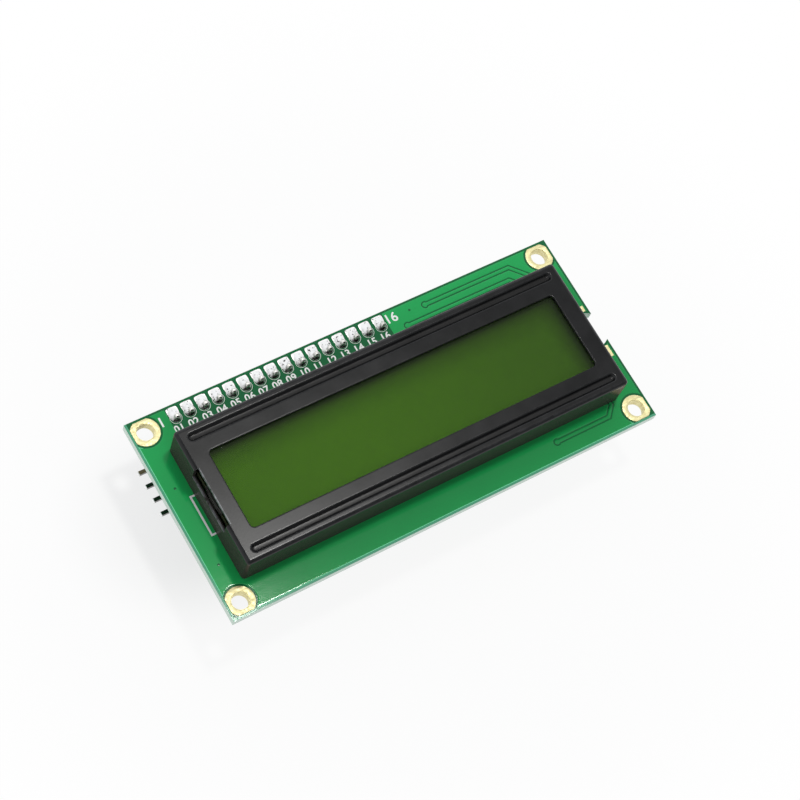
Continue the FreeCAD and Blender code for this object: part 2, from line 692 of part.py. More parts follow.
# The two sealed chips under domes of resin, and the row of small parts beside them.
def makeBoardBack():
    domes = []
    for label, sign, radius in (("controller_dome", "", "sealedChipRadius"),
                                ("driver_dome", "-", "smallSealedChipRadius")):
        dome = newBody(label, f"{sign}sealedChipOffset", "-sealedChipDrop", boardBack, upsideDown)
        side = sketchOn(dome, "domeSide", "XZ_Plane")
        domeSide(side, radius, "sealedChipHeight")
        turned(dome, side)
        domes.append(dome)
    resistors, ends = [], []
    for n in range(boardResistorCount):
        x = f"(boardLength / 2 - boardPartInset - {n} * resistorPitch)"
        y = "(boardWidth / 2 - bezelTopMargin - 4 * chipPartWidth)"
        chipPart(f"boardResistor{n}", x, y, boardBack, "resistorHeight", resistors, ends, upright=True)
    capacitors, capacitorEnds = [], []
    for n in range(boardCapacitorCount):
        x = f"(sealedChipOffset + sealedChipRadius + capacitorGap + {2 * n} * resistorPitch)"
        chipPart(f"boardCapacitor{n}", x, "(-sealedChipDrop)", boardBack, "capacitorHeight", capacitors,
                 capacitorEnds)
    return domes + [
        group("board_resistors", resistors),
        group("board_capacitors", capacitors),
        group("board_part_ends", ends + capacitorEnds),
    ]


# One small soldered block with two metal ends, hanging under the level given.
def chipPart(name, x, y, level, height, bodies, ends, upright=False):
    core, lip = "(chipPartLength - 2 * chipEndLength)", "(chipPartWidth + 2 * chipEndLip)"
    endHeight = f"({height} + chipEndLip)"
    if upright:
        bodies.append(centredBlock(name, x, y, f"{level} - {height}", "chipPartWidth", core, height))
    else:
        bodies.append(centredBlock(name, x, y, f"{level} - {height}", core, "chipPartWidth", height))
    for n, sign in enumerate("-+"):
        step = f"{sign} (chipPartLength - chipEndLength) / 2"
        if upright:
            ends.append(centredBlock(f"{name}End{n}", x, f"({y} {step})", f"{level} - {endHeight}", lip,
                                     "chipEndLength", endHeight))
        else:
            ends.append(centredBlock(f"{name}End{n}", f"({x} {step})", y, f"{level} - {endHeight}", "chipEndLength",
                                     lip, endHeight))


# A strip of moulded header, one eight-sided cell for each pin, with the square pin holes through it.
def headerStrip(body, count, axis, spanX, spanY):
    half, deep = "pinPitch / 2", "stripWidth / 2"
    cell = sketchOn(body, "cell")
    if axis == "X_Axis":
        outline(cell, [(f"-{half}", f"-{deep} + stripNotch"), (f"-{half} + stripNotch", f"-{deep}"),
                       (f"{half} - stripNotch", f"-{deep}"), (half, f"-{deep} + stripNotch"),
                       (half, f"{deep} - stripNotch"), (f"{half} - stripNotch", deep),
                       (f"-{half} + stripNotch", deep), (f"-{half}", f"{deep} - stripNotch")])
    else:
        outline(cell, [(f"-{deep} + stripNotch", f"-{half}"), (f"{deep} - stripNotch", f"-{half}"),
                       (deep, f"-{half} + stripNotch"), (deep, f"{half} - stripNotch"),
                       (f"{deep} - stripNotch", half), (f"-{deep} + stripNotch", half),
                       (f"-{deep}", f"{half} - stripNotch"), (f"-{deep}", f"-{half} + stripNotch")])
    cells = pad(body, cell, "stripHeight")
    repeat(body, [cells], count, "pinPitch", axis=axis)
    hole = sketchOn(body, "pinHole", offset="stripHeight")
    centredRectangle(hole, "pinWidth", "pinWidth")
    repeat(body, [pocket(body, hole)], count, "pinPitch", axis=axis)


# The sixteen-pin header between the two boards, with its solder on the display side and on the adapter.
def makeMainHeader():
    strip = newBody("header_strip", firstPinX, pinRowY, adapterFront)
    headerStrip(strip, pinCount, "X_Axis", "pinPitch", "stripWidth")

    low = "(boardThickness + stripHeight + adapterThickness + pinBackReach)"
    pins = newBody("header_pins", firstPinX, pinRowY)
    plan = sketchOn(pins, "pinPlan", offset=f"-{low}")
    centredRectangle(plan, "pinWidth", "pinWidth")
    shaft = pad(pins, plan, f"{low} + pinFrontReach")
    row = repeat(pins, [shaft], pinCount, "pinPitch")
    ends = (size("pinFrontReach"), -size(low))
    bevelled(pins, row, lambda edge: any(flatAt(edge, end) for end in ends), "pinBevel")

    # Each joint on the display board covers a pad that runs on towards the board's edge.
    joints = newBody("front_solder_joints", firstPinX, pinRowY)
    solderRow(joints, "joint", (
        ("0", "solderPadRadius", "solderPadReach"),
        ("0.22 * solderHeight", f"0.55 * solderPadRadius + 0.45 * {solderTop}", "0.7 * solderPadReach"),
        ("0.62 * solderHeight", f"0.15 * solderPadRadius + 0.85 * {solderTop}", "0.35 * solderPadReach"),
        ("solderHeight", solderTop, solderTop),
    ), pinCount, "X_Axis")

    back = newBody("adapter_solder_joints", firstPinX, pinRowY, adapterBack, upsideDown)
    solderRow(back, "joint", roundJoint("adapterPadRadius", "adapterSolderHeight"), pinCount, "X_Axis")
    return [strip, pins, joints, back]


# The levels of a solder joint that rises evenly about a pin.
def roundJoint(radius, height):
    waist = f"0.4 * {radius} + 0.6 * {solderTop}"
    return ("0", radius, None), (f"0.35 * {height}", waist, None), (height, solderTop, None)


# Solder heaped through its outlines. Each level gives a height, a half width and a straight end's reach.
def solderHeap(body, name, levels, x="0", y="0"):
    sections = []
    for n, (level, halfWidth, reach) in enumerate(levels):
        section = sketchOn(body, f"{name}Section{n}", offset=level)
        eightSided(section, halfWidth, x, y, reach)
        sections.append(section)
    heap = body.newObject("PartDesign::AdditiveLoft", name)
    heap.Profile = sections[0]
    heap.Sections = [(section, [""]) for section in sections[1:]]
    heap.Ruled = True
    doc.recompute()
    return heap


# The same joint about each pin of a row, with the square pin's core cut out of it.
def solderRow(body, name, levels, count, axis, x="0", y="0"):
    heap = solderHeap(body, name, levels, x, y)
    core = sketchOn(body, f"{name}Core", offset="2 * solderHeight")
    centredRectangle(core, "pinWidth", "pinWidth", x, y)
    repeat(body, [heap, pocket(body, core)], count, "pinPitch", axis=axis)


# The adapter board, drilled for the header, the side pins, the jumper and the trimmer.
def makeAdapterBoard():
    body = newBody("adapter_board", z=adapterBack)
    plan = sketchOn(body, "adapterPlan")
    rectangle(plan, adapterLeft, adapterRight, adapterFoot, adapterTop)
    pad(body, plan, "adapterThickness")
    rows = (
        ("headerHole", firstPinX, pinRowY, pinCount, "X_Axis"),
        ("sidePinHole", sidePinHoleX, f"{sidePinY} - {(sidePinCount - 1) / 2} * pinPitch", sidePinCount, "Y_Axis"),
        ("jumperHole", jumperX, f"{partRowY} - pinPitch / 2", jumperPinCount, "Y_Axis"),
    )
    for name, x, y, count, axis in rows:
        drill = sketchOn(body, name, offset="adapterThickness")
        eightSided(drill, f"{pinHole} / 2", x, y)
        repeat(body, [pocket(body, drill)], count, "pinPitch", axis=axis)
    legs = sketchOn(body, "trimmerHoles", offset="adapterThickness")
    for x, y in trimmerPinPlaces():
        circle(legs, "trimmerPinDiameter + 2 * pinHoleClearance", f"{trimmerX} + {x}", f"{partRowY} - {y}")
    pocket(body, legs)
    return body


def trimmerPinPlaces():
    outerX, nearY, farY = "(trimmerPinSpacing / 2)", "(-trimmerPinDepth / 2)", "(trimmerPinDepth / 2)"
    return [(f"(-{outerX})", nearY), (outerX, nearY), ("0", farY)]


# Four right-angle pins that leave the adapter's left edge, in their moulded strip.
def makeSideHeader():
    lowest = f"({sidePinY} - {(sidePinCount - 1) / 2} * pinPitch)"
    pinLevel = f"({adapterBack} - stripWidth / 2)"
    strip = newBody("side_strip", adapterLeft, lowest, pinLevel, Rotation(Vector(0, 1, 0), 90))
    headerStrip(strip, sidePinCount, "Y_Axis", "stripWidth", "pinPitch")

    pins = newBody("side_pins", adapterLeft, lowest, pinLevel)
    side = sketchOn(pins, "pinSide", "XZ_Plane", offset="-pinWidth / 2")
    half = "pinWidth / 2"
    top = "(stripWidth / 2 + adapterThickness + throughPinReach)"
    outline(side, [("-sidePinReach", f"-{half}"), (f"sidePinHoleInset + {half}", f"-{half}"),
                   (f"sidePinHoleInset + {half}", top), (f"sidePinHoleInset - {half}", top),
                   (f"sidePinHoleInset - {half}", half), ("-sidePinReach", half)])
    wire = pad(pins, side, "pinWidth")
    bendX = size(f"sidePinHoleInset + {half}")
    lowZ = -size(half)
    wire = rounded(pins, wire, lambda edge: near(edge.CenterOfMass.x, bendX) and near(edge.CenterOfMass.z, lowZ)
                   and edge.BoundBox.YLength > looseness, "sidePinBend")
    row = repeatBody(pins, wire, sidePinCount, "pinPitch", "Y_Axis")
    tipX = -size("sidePinReach")
    bevelled(pins, row, lambda edge: near(edge.BoundBox.XMin, tipX) and near(edge.BoundBox.XMax, tipX), "pinBevel")
    return [strip, pins]


# Copies the whole solid so far, where a fillet has to be copied with the pad that carries it.
def repeatBody(body, base, count, spacing, axis):
    feature = body.newObject("PartDesign::LinearPattern", "row")
    feature.TransformMode = "Whole shape"
    feature.Direction = (originPart(body, axis), [""])
    feature.Occurrences = count
    feature.Mode = "Spacing"
    bind(feature, Offset=spacing)
    body.Tip = feature
    doc.recompute()
    return feature


# One soldered lead: down from the moulding's side and out to a flat foot. side is 1 or -1 along Y.
def gullWing(sketch, side, edge, reach, foot, middle, thickness):
    def y(text):
        return text if side > 0 else f"-({text})"
    toe, riser = y(f"{edge} + {reach}"), y(f"{edge} + {reach} - {foot}")
    inside = y(f"{edge} + {reach} - {foot} - {thickness}")
    upper, lower = f"{middle} + {thickness} / 2", f"{middle} - {thickness} / 2"
    outline(sketch, [(toe, "0"), (toe, thickness), (riser, thickness), (riser, upper), (y(edge), upper),
                     (y(edge), lower), (inside, lower), (inside, "0")])


# The bus chip: a drafted moulding parted at its leads, with a dimple at lead one, and sixteen leads.
def makeBusChip():
    body = newBody("bus_chip", chipX, partRowY, adapterBack, upsideDown)
    middle = "(chipStandoff + chipHeight / 2)"
    parting = sketchOn(body, "partingLine", offset=middle)
    centredRectangle(parting, "chipLength", "chipWidth")
    pad(body, parting, "chipHeight / 2", taper="-chipDraft", name="upperHalf")
    lower = sketchOn(body, "partingLineBelow", offset=middle)
    centredRectangle(lower, "chipLength", "chipWidth")
    pad(body, lower, "chipHeight / 2", backwards=True, taper="-chipDraft", name="lowerHalf")
    mark = sketchOn(body, "dimple", offset="chipStandoff + chipHeight")
    circle(mark, "chipDimpleDiameter", "chipDimpleInset - chipLength / 2", "chipDimpleInset - chipWidth / 2")
    pocket(body, mark, "chipDimpleDepth")

    leads = newBody("bus_chip_leads", chipX, partRowY, adapterBack, upsideDown)
    firstLead = f"(-{(chipLeadCount - 1) / 2} * chipLeadPitch - chipLeadWidth / 2)"
    profile = sketchOn(leads, "leadSides", "YZ_Plane", offset=firstLead)
    for side in (1, -1):
        gullWing(profile, side, "chipWidth / 2", "chipLeadReach", "chipFootLength", middle, "chipLeadThickness")
    repeat(leads, [pad(leads, profile, "chipLeadWidth")], chipLeadCount, "chipLeadPitch")
    return [body, leads]


# The contrast trimmer: a moulded cap over a ceramic element, with a rotor held under the cap's rim.
def makeTrimmer():
    place0 = (trimmerX, partRowY, adapterBack, upsideDown)
    elementTop = "(trimmerFoot + elementThickness)"
    flangeTop = f"({elementTop} + rotorFlangeHeight + rotorClearance)"
    housing = newBody("trimmer_housing", *place0)
    plan = sketchOn(housing, "capPlan", offset="trimmerFoot")
    centredRectangle(plan, "trimmerLength", "trimmerWidth")
    cap = pad(housing, plan, "trimmerHeight - trimmerFoot")
    bevelled(housing, cap, upright, "trimmerCorner")
    dish = sketchOn(housing, "rim", offset="trimmerHeight")
    circle(dish, "trimmerRimDiameter")
    pocket(housing, dish, "trimmerRimDepth", name="rimDish")
    throat = sketchOn(housing, "throat", offset="trimmerHeight")
    circle(throat, "2 * (rotorHeadRadius + rotorClearance)")
    pocket(housing, throat, name="throatBore")
    # The wide part of the bore starts at the underside of the cap and ends just past the flange.
    cavity = sketchOn(housing, "cavity", offset="trimmerFoot")
    circle(cavity, "2 * (rotorFlangeRadius + rotorClearance)")
    pocket(housing, cavity, f"{flangeTop} - trimmerFoot", backwards=True, name="flangeBore")
    seat = sketchOn(housing, "elementSeat", offset="trimmerFoot")
    centredRectangle(seat, "(trimmerLength - 2 * trimmerWall)", "(trimmerWidth - 2 * trimmerWall)")
    pocket(housing, seat, "elementThickness", backwards=True, name="elementPocket")

    element = newBody("trimmer_element", *place0)
    slab = sketchOn(element, "elementPlan", offset="trimmerFoot")
    centredRectangle(slab, "(trimmerLength - 2 * trimmerWall)", "(trimmerWidth - 2 * trimmerWall)")
    pad(element, slab, "elementThickness")

    rotor = newBody("contrast_rotor", *place0)
    headTop = "(trimmerHeight - rotorRecess)"
    side = sketchOn(rotor, "rotorSide", "XZ_Plane")
    outline(side, [("0", elementTop), ("rotorFlangeRadius", elementTop),
                   ("rotorFlangeRadius", f"{elementTop} + rotorFlangeHeight"),
                   ("rotorHeadRadius", f"{elementTop} + rotorFlangeHeight"), ("rotorHeadRadius", headTop),
                   ("0", headTop)])
    turned(rotor, side)
    cross = sketchOn(rotor, "crossSlot", offset=headTop)
    centredRectangle(cross, "(1.5 * rotorHeadRadius)", "rotorSlotWidth")
    pocket(rotor, cross, "rotorSlotDepth", name="longSlot")
    bar = sketchOn(rotor, "crossBar", offset=headTop)
    centredRectangle(bar, "rotorSlotWidth", "(1.5 * rotorHeadRadius)")
    pocket(rotor, bar, "rotorSlotDepth", name="shortSlot")

    pins = newBody("trimmer_pins", *place0)
    legs = sketchOn(pins, "legs", offset="trimmerFoot")
    for x, y in trimmerPinPlaces():
        circle(legs, "trimmerPinDiameter", x, y)
    pad(pins, legs, "trimmerFoot + adapterThickness + throughPinReach", backwards=True)
    return [housing, element, rotor, pins]


# The jumper: a two-pin header with a cap on it, and the folded clip inside that joins the pins.
def makeJumper():
    lowPinY = f"({partRowY} - pinPitch / 2)"
    strip = newBody("jumper_strip", jumperX, lowPinY, f"{adapterBack} - stripHeight")
    headerStrip(strip, jumperPinCount, "Y_Axis", "stripWidth", "pinPitch")

    capLow = f"({adapterBack} - stripHeight - jumperCapHeight)"
    roof = f"({capLow} + jumperCapTop)"
    tip = f"({roof} + clipThickness + jumperPinGap)"
    pins = newBody("jumper_pins", jumperX, lowPinY)
    plan = sketchOn(pins, "pinPlan", offset=tip)
    centredRectangle(plan, "pinWidth", "pinWidth")
    shaft = pad(pins, plan, f"{adapterFront} + throughPinReach - {tip}")
    row = repeat(pins, [shaft], jumperPinCount, "pinPitch", axis="Y_Axis")
    ends = (size(tip), size(f"{adapterFront} + throughPinReach"))
    bevelled(pins, row, lambda edge: any(flatAt(edge, end) for end in ends), "pinBevel")

    cap = newBody("jumper_cap", jumperX, partRowY, capLow)
    capPlan = sketchOn(cap, "capPlan")
    centredRectangle(capPlan, "jumperCapWidth", "jumperCapLength")
    shell = pad(cap, capPlan, "jumperCapHeight")
    shell = bevelled(cap, shell, lambda edge: upright(edge) or flatAt(edge, 0), "jumperCapBevel")
    well = sketchOn(cap, "well", offset="jumperCapHeight")
    centredRectangle(well, "(pinWidth + 2 * clipThickness)", "(jumperCapLength - 2 * jumperCapWall)")
    pocket(cap, well, "jumperCapHeight - jumperCapTop", name="pinWell")

    clip = newBody("jumper_clip", jumperX, partRowY, roof)
    fold = sketchOn(clip, "clipSide", "XZ_Plane", offset="-clipLength / 2")
    half, wide = "(pinWidth / 2)", "(pinWidth / 2 + clipThickness)"
    rise = "(0.8 * (jumperCapHeight - jumperCapTop))"
    outline(fold, [(f"-{wide}", "0"), (wide, "0"), (wide, rise), (half, rise), (half, "clipThickness"),
                   (f"-{half}", "clipThickness"), (f"-{half}", rise), (f"-{wide}", rise)])
    pad(clip, fold, "clipLength")
    return [strip, pins, cap, clip]


# Solder on the adapter's display side, about the side pins, the jumper pins and the trimmer legs.
def makeThroughSolder():
    body = newBody("through_solder_joints", z=adapterFront)
    joint = roundJoint("adapterPadRadius", "(0.6 * throughPinReach)")
    lowest = f"({sidePinY} - {(sidePinCount - 1) / 2} * pinPitch)"
    solderRow(body, "sidePinJoint", joint, sidePinCount, "Y_Axis", sidePinHoleX, lowest)
    solderRow(body, "jumperJoint", joint, jumperPinCount, "Y_Axis", jumperX, f"({partRowY} - pinPitch / 2)")
    for n, (x, y) in enumerate(trimmerPinPlaces()):
        across, along = f"({trimmerX} + {x})", f"({partRowY} - {y})"
        solderHeap(body, f"legJoint{n}", joint, across, along)
        core = sketchOn(body, f"legCore{n}", offset="2 * solderHeight")
        eightSided(core, "trimmerPinDiameter / 2", across, along)
        pocket(body, core)
    return body


# Small parts on the adapter: resistors, capacitors, the power lamp and the backlight transistor.
def makeAdapterParts():
    bodies, ends = [], []
    leftColumn = f"({chipX} - chipLength / 2 - 2 * chipPartLength)"
    rightColumn = f"((({chipX} + chipLength / 2) + ({trimmerX} - trimmerLength / 2)) / 2)"
    for n, (x, step) in enumerate(((leftColumn, 1.2), (leftColumn, -1.2), (rightColumn, 2), (rightColumn, 0),
                                   (rightColumn, -2))):
        y = f"({partRowY} + {step} * chipPartWidth)"
        chipPart(f"adapterResistor{n}", x, y, adapterBack, "resistorHeight", bodies, ends)
    capacitors, capacitorEnds = [], []
    lowRow = f"({adapterFoot} + 1.6 * chipPartWidth)"
    for n, x in enumerate((f"({chipX} + chipLength / 2)", f"({chipX} - chipLength / 2)")):
        chipPart(f"adapterCapacitor{n}", x, lowRow if n else f"({adapterFoot} + 1.2 * chipPartWidth)", adapterBack,
                 "capacitorHeight", capacitors, capacitorEnds)

    lampX = f"({sidePinHoleX} + 2 * chipPartLength)"
    base = centredBlock("power_lamp_base", lampX, lowRow, f"{adapterBack} - lampBaseHeight", "chipPartLength",
                        "chipPartWidth", "lampBaseHeight")
    lens = newBody("power_lamp_lens", lampX, lowRow, f"{adapterBack} - lampBaseHeight", upsideDown)
    plan = sketchOn(lens, "lensPlan")
    centredRectangle(plan, "(chipPartLength - 2 * lensInset)", "chipPartWidth")
    pad(lens, plan, "lensHeight", taper="-2 * chipDraft")

    spot = (f"({trimmerX} - trimmerLength / 2)", f"({adapterFoot} + 2 * transistorWidth)", adapterBack, upsideDown)
    middle = "(transistorStandoff + transistorHeight / 2)"
    moulding = newBody("backlight_transistor", *spot)
    for offsetName, backwards in (("upper", False), ("lower", True)):
        parting = sketchOn(moulding, f"{offsetName}Line", offset=middle)
        centredRectangle(parting, "transistorLength", "transistorWidth")
        pad(moulding, parting, "transistorHeight / 2", backwards=backwards, taper="-chipDraft")
    leads = newBody("transistor_leads", *spot)
    shape = ("transistorWidth / 2", "transistorLeadReach", "transistorFootLength", middle, "transistorLeadThickness")
    single = sketchOn(leads, "singleLead", "YZ_Plane", offset="-transistorLeadWidth / 2")
    gullWing(single, 1, *shape)
    pad(leads, single, "transistorLeadWidth")
    pair = sketchOn(leads, "pairLead", "YZ_Plane", offset="-transistorLeadSpacing / 2 - transistorLeadWidth / 2")
    gullWing(pair, -1, *shape)
    second = pad(leads, pair, "transistorLeadWidth")
    repeat(leads, [second], 2, "transistorLeadSpacing")
    return [
        group("adapter_resistors", bodies),
        group("adapter_capacitors", capacitors),
        group("adapter_part_ends", ends + capacitorEnds),
        base,
        lens,
        moulding,
        leads,
    ]


pieces = [makeMainBoard(), makeBezel()]
pieces += makeDisplayCell()
pieces += makeContactStrips()
pieces += makeBacklight()
pieces += makeBoardBack()
pieces += makeMainHeader()
pieces.append(makeAdapterBoard())
pieces += makeSideHeader()
pieces += makeBusChip()
pieces += makeTrimmer()
pieces += makeJumper()
pieces.append(makeThroughSolder())
pieces += makeAdapterParts()
doc.recompute()

# Nothing is written unless every feature is sound and every cut or addition changed its solid.
for thing in doc.Objects:
    if any(word in thing.State for word in ("Invalid", "Error")):
        raise RuntimeError(f"{thing.Name} ({thing.Label}) is {thing.State}")
    if thing.TypeId in ("PartDesign::Pad", "PartDesign::Pocket") and thing.BaseFeature:
        change = thing.Shape.Volume - thing.BaseFeature.Shape.Volume
        if (change <= 0) == (thing.TypeId == "PartDesign::Pad"):
            raise RuntimeError(f"{thing.Name} changed its solid by {change:.4f} cubic mm")

os.makedirs("parts", exist_ok=True)
for piece in pieces:
    shape = piece.Shape
    if shape.isNull() or not shape.isValid():
        raise RuntimeError(f"{piece.Label} has no sound shape")
    shape.exportStep(f"parts/{piece.Label}.step")
    print(f"{piece.Label}: {len(shape.Solids)} solids, {shape.Volume:.2f} cubic mm")
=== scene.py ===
import bmesh
import bpy
import math
from functools import partial
from mathutils import Matrix, Vector


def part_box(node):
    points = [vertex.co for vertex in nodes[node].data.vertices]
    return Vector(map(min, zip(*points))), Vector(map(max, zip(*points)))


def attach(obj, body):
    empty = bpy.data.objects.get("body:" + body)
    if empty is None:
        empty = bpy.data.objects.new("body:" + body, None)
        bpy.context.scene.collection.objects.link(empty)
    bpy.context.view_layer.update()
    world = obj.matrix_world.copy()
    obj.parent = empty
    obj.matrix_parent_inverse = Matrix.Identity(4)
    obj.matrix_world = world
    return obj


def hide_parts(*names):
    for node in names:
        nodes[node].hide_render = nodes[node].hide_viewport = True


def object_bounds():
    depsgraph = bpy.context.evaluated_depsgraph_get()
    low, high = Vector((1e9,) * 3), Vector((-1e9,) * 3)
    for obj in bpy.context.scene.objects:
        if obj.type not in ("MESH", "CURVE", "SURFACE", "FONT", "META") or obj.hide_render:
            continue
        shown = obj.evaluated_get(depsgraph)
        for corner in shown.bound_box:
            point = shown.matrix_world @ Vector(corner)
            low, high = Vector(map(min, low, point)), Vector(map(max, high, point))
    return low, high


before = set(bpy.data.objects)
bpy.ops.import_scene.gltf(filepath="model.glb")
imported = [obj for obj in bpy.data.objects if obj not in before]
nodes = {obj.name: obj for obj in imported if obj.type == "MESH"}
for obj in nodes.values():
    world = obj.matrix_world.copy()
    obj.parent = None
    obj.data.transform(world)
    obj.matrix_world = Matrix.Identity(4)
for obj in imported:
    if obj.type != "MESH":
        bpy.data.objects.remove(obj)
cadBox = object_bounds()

# Looks of the display module. Lengths in the dictionaries are millimetres, in the frame of the CAD model:
# the origin is the middle of the display board's front face, X runs along the sixteen pins, Y towards them.

mm = 0.001
materials = {}
eased = {"interpolation_type": "SMOOTHSTEP"}


# Adds a node with its settings, and gives its inputs values or links. A node given as a value stands for the
# first output that it uses.
def addNode(tree, kind, inputs=None, **settings):
    node = tree.nodes.new(kind)
    for name, value in settings.items():
        setattr(node, name, value)
    for name, value in (inputs or {}).items():
        if isinstance(value, bpy.types.Node):
            value = next(output for output in value.outputs if output.enabled)
        if isinstance(value, bpy.types.NodeSocket):
            tree.links.new(value, node.inputs[name])
        else:
            node.inputs[name].default_value = value
    return node


# An sRGB hex colour as the linear one that shaders take.
def linear(code):
    parts = [int(code[n:n + 2], 16) / 255 for n in (1, 3, 5)]
    return tuple(p / 12.92 if p <= 0.04045 else ((p + 0.055) / 1.055) ** 2.4 for p in parts) + (1.0,)


# The function given adds a material's nodes from its look and returns the shader.
def makeMaterial(name, layShader, look):
    material = bpy.data.materials.new(name)
    material.use_nodes = True
    material.node_tree.nodes.clear()
    add = partial(addNode, material.node_tree)
    add("ShaderNodeOutputMaterial", {"Surface": layShader(add, look)})
    materials[name] = material


# The piece's own coordinates in millimetres, so that a pattern's scale is one over its size.
def millimetres(add):
    coords = add("ShaderNodeTexCoord")
    return add("ShaderNodeVectorMath", {0: coords.outputs["Object"], 1: (1 / mm,) * 3}, operation="MULTIPLY")


def place(name, data):
    holder = bpy.data.objects.new(name, data)
    bpy.context.scene.collection.objects.link(holder)
    return holder


# The plain mesh that a curve, a text or an object with modifiers comes out as.
def plainMesh(holder):
    bpy.context.view_layer.update()
    mesh = bpy.data.meshes.new_from_object(holder.evaluated_get(bpy.context.evaluated_depsgraph_get()))
    bpy.data.objects.remove(holder)
    return mesh


# Smooth shading that leaves the flats flat and breaks at edges sharper than the angle.
def shaded(mesh, sharpAbove):
    mesh.shade_smooth()
    mesh.set_sharp_from_angle(angle=math.radians(sharpAbove))
    holder = place("shaded", mesh)
    holder.modifiers.new("flats", "WEIGHTED_NORMAL").keep_sharp = True
    return plainMesh(holder)


# A finished piece. All of them ride on the module, since the rotor keeps its CAD shape.
def keepPiece(name, mesh, material, replaced=(), sharpAbove=None):
    piece = place(name, shaded(mesh, sharpAbove) if sharpAbove else mesh)
    piece.data.name = name
    piece.data.materials.clear()
    piece.data.materials.append(materials[material])
    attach(piece, "module")
    if replaced:
        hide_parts(*replaced)


noiseLow, noiseHigh = 0.3, 0.7  # nearly all of a noise pattern lies between these
dullest, brightest = 1.3, 0.8  # shares of a metal's roughness that its grain spans


# A finish's grain, its two tones mixed by the grain, and the grain's relief.
def grainNodes(add, look, detail):
    grain = add("ShaderNodeTexNoise", {
        "Vector": millimetres(add), "Scale": 1 / look["grain"], "Detail": detail})
    tone = add("ShaderNodeMix", {
        0: grain, 6: linear(look["tone"]), 7: linear(look["shade"])}, data_type="RGBA")
    bump = add("ShaderNodeBump", {"Height": grain, "Strength": 0.5, "Distance": look["height"] * mm})
    return grain, tone, bump


# Colour, roughness, and a fine unevenness of the size that the plating or the frozen metal has.
metalFinishes = {
    # Gold from an immersion bath, thin over nickel: pale straw, soft and slightly grainy.
    "immersionGold": {"tone": "#ECE6B6", "shade": "#E0D4A0", "roughness": 0.48, "grain": 0.5,
                      "height": 0.002},
    # Tin solder that froze in heaps: near white and shiny, gently dimpled, with brown specks of flux.
    "brightSolder": {"tone": "#FFFFFF", "shade": "#F4F3F0", "roughness": 0.35, "grain": 0.4, "height": 0.03,
                     "stain": "#3A3835", "speckFrom": 0.6, "speckTo": 0.68},
    # Tin plated on stamped and drawn leads: a clean light grey with a smooth shine.
    "tinPlate": {"tone": "#EDEBE6", "shade": "#CFCDC9", "roughness": 0.25, "grain": 0.3, "height": 0.002},
    # Nickel plated on square pins: mirroring sides darkened as painted shade, and a white dull face at each
    # cut tip as a painted highlight.
    "nickelPaintedShadeAndTips": {"tone": "#7B7976", "shade": "#5F5D5B", "roughness": 0.16, "grain": 0.6, "height": 0.002,
                   "cut": "#FFFFFF", "cutLength": 0.25, "cutRoughness": 0.4},
}


def metalShader(add, look):
    grain, tone, bump = grainNodes(add, look, 4.0)
    rough = add("ShaderNodeMapRange", {
        "Value": grain, "From Min": noiseLow, "From Max": noiseHigh, "To Min": look["roughness"] * brightest,
        "To Max": look["roughness"] * dullest})
    if "stain" in look:
        flux = add("ShaderNodeAttribute", attribute_name="flux").outputs["Fac"]
        speck = add("ShaderNodeMapRange", {
            "Value": grain, "From Min": look["speckFrom"], "From Max": look["speckTo"]})
        amount = add("ShaderNodeMath", {
            0: flux, 1: grain, 2: speck}, operation="MULTIPLY_ADD", use_clamp=True)
        tone = add("ShaderNodeMix", {0: amount, 6: tone, 7: linear(look["stain"])}, data_type="RGBA")
    # Painted highlight: a white, duller face at each pin's tip.
    if "cut" in look:
        along = add("ShaderNodeSeparateXYZ", {0: millimetres(add)}).outputs["X"]
        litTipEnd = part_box("side_pins")[0].x / mm + look["cutLength"]
        atTip = add("ShaderNodeMath", {0: along, 1: litTipEnd}, operation="LESS_THAN")
        tone = add("ShaderNodeMix", {0: atTip, 6: tone, 7: linear(look["cut"])}, data_type="RGBA")
        rough = add("ShaderNodeMath", {
            0: atTip, 1: look["cutRoughness"], 2: rough}, operation="MULTIPLY_ADD")
    return add("ShaderNodeBsdfPrincipled", {
        "Base Color": tone, "Metallic": 1.0, "Roughness": rough, "Normal": bump})


for name, look in metalFinishes.items():
    makeMaterial(name, metalShader, look)

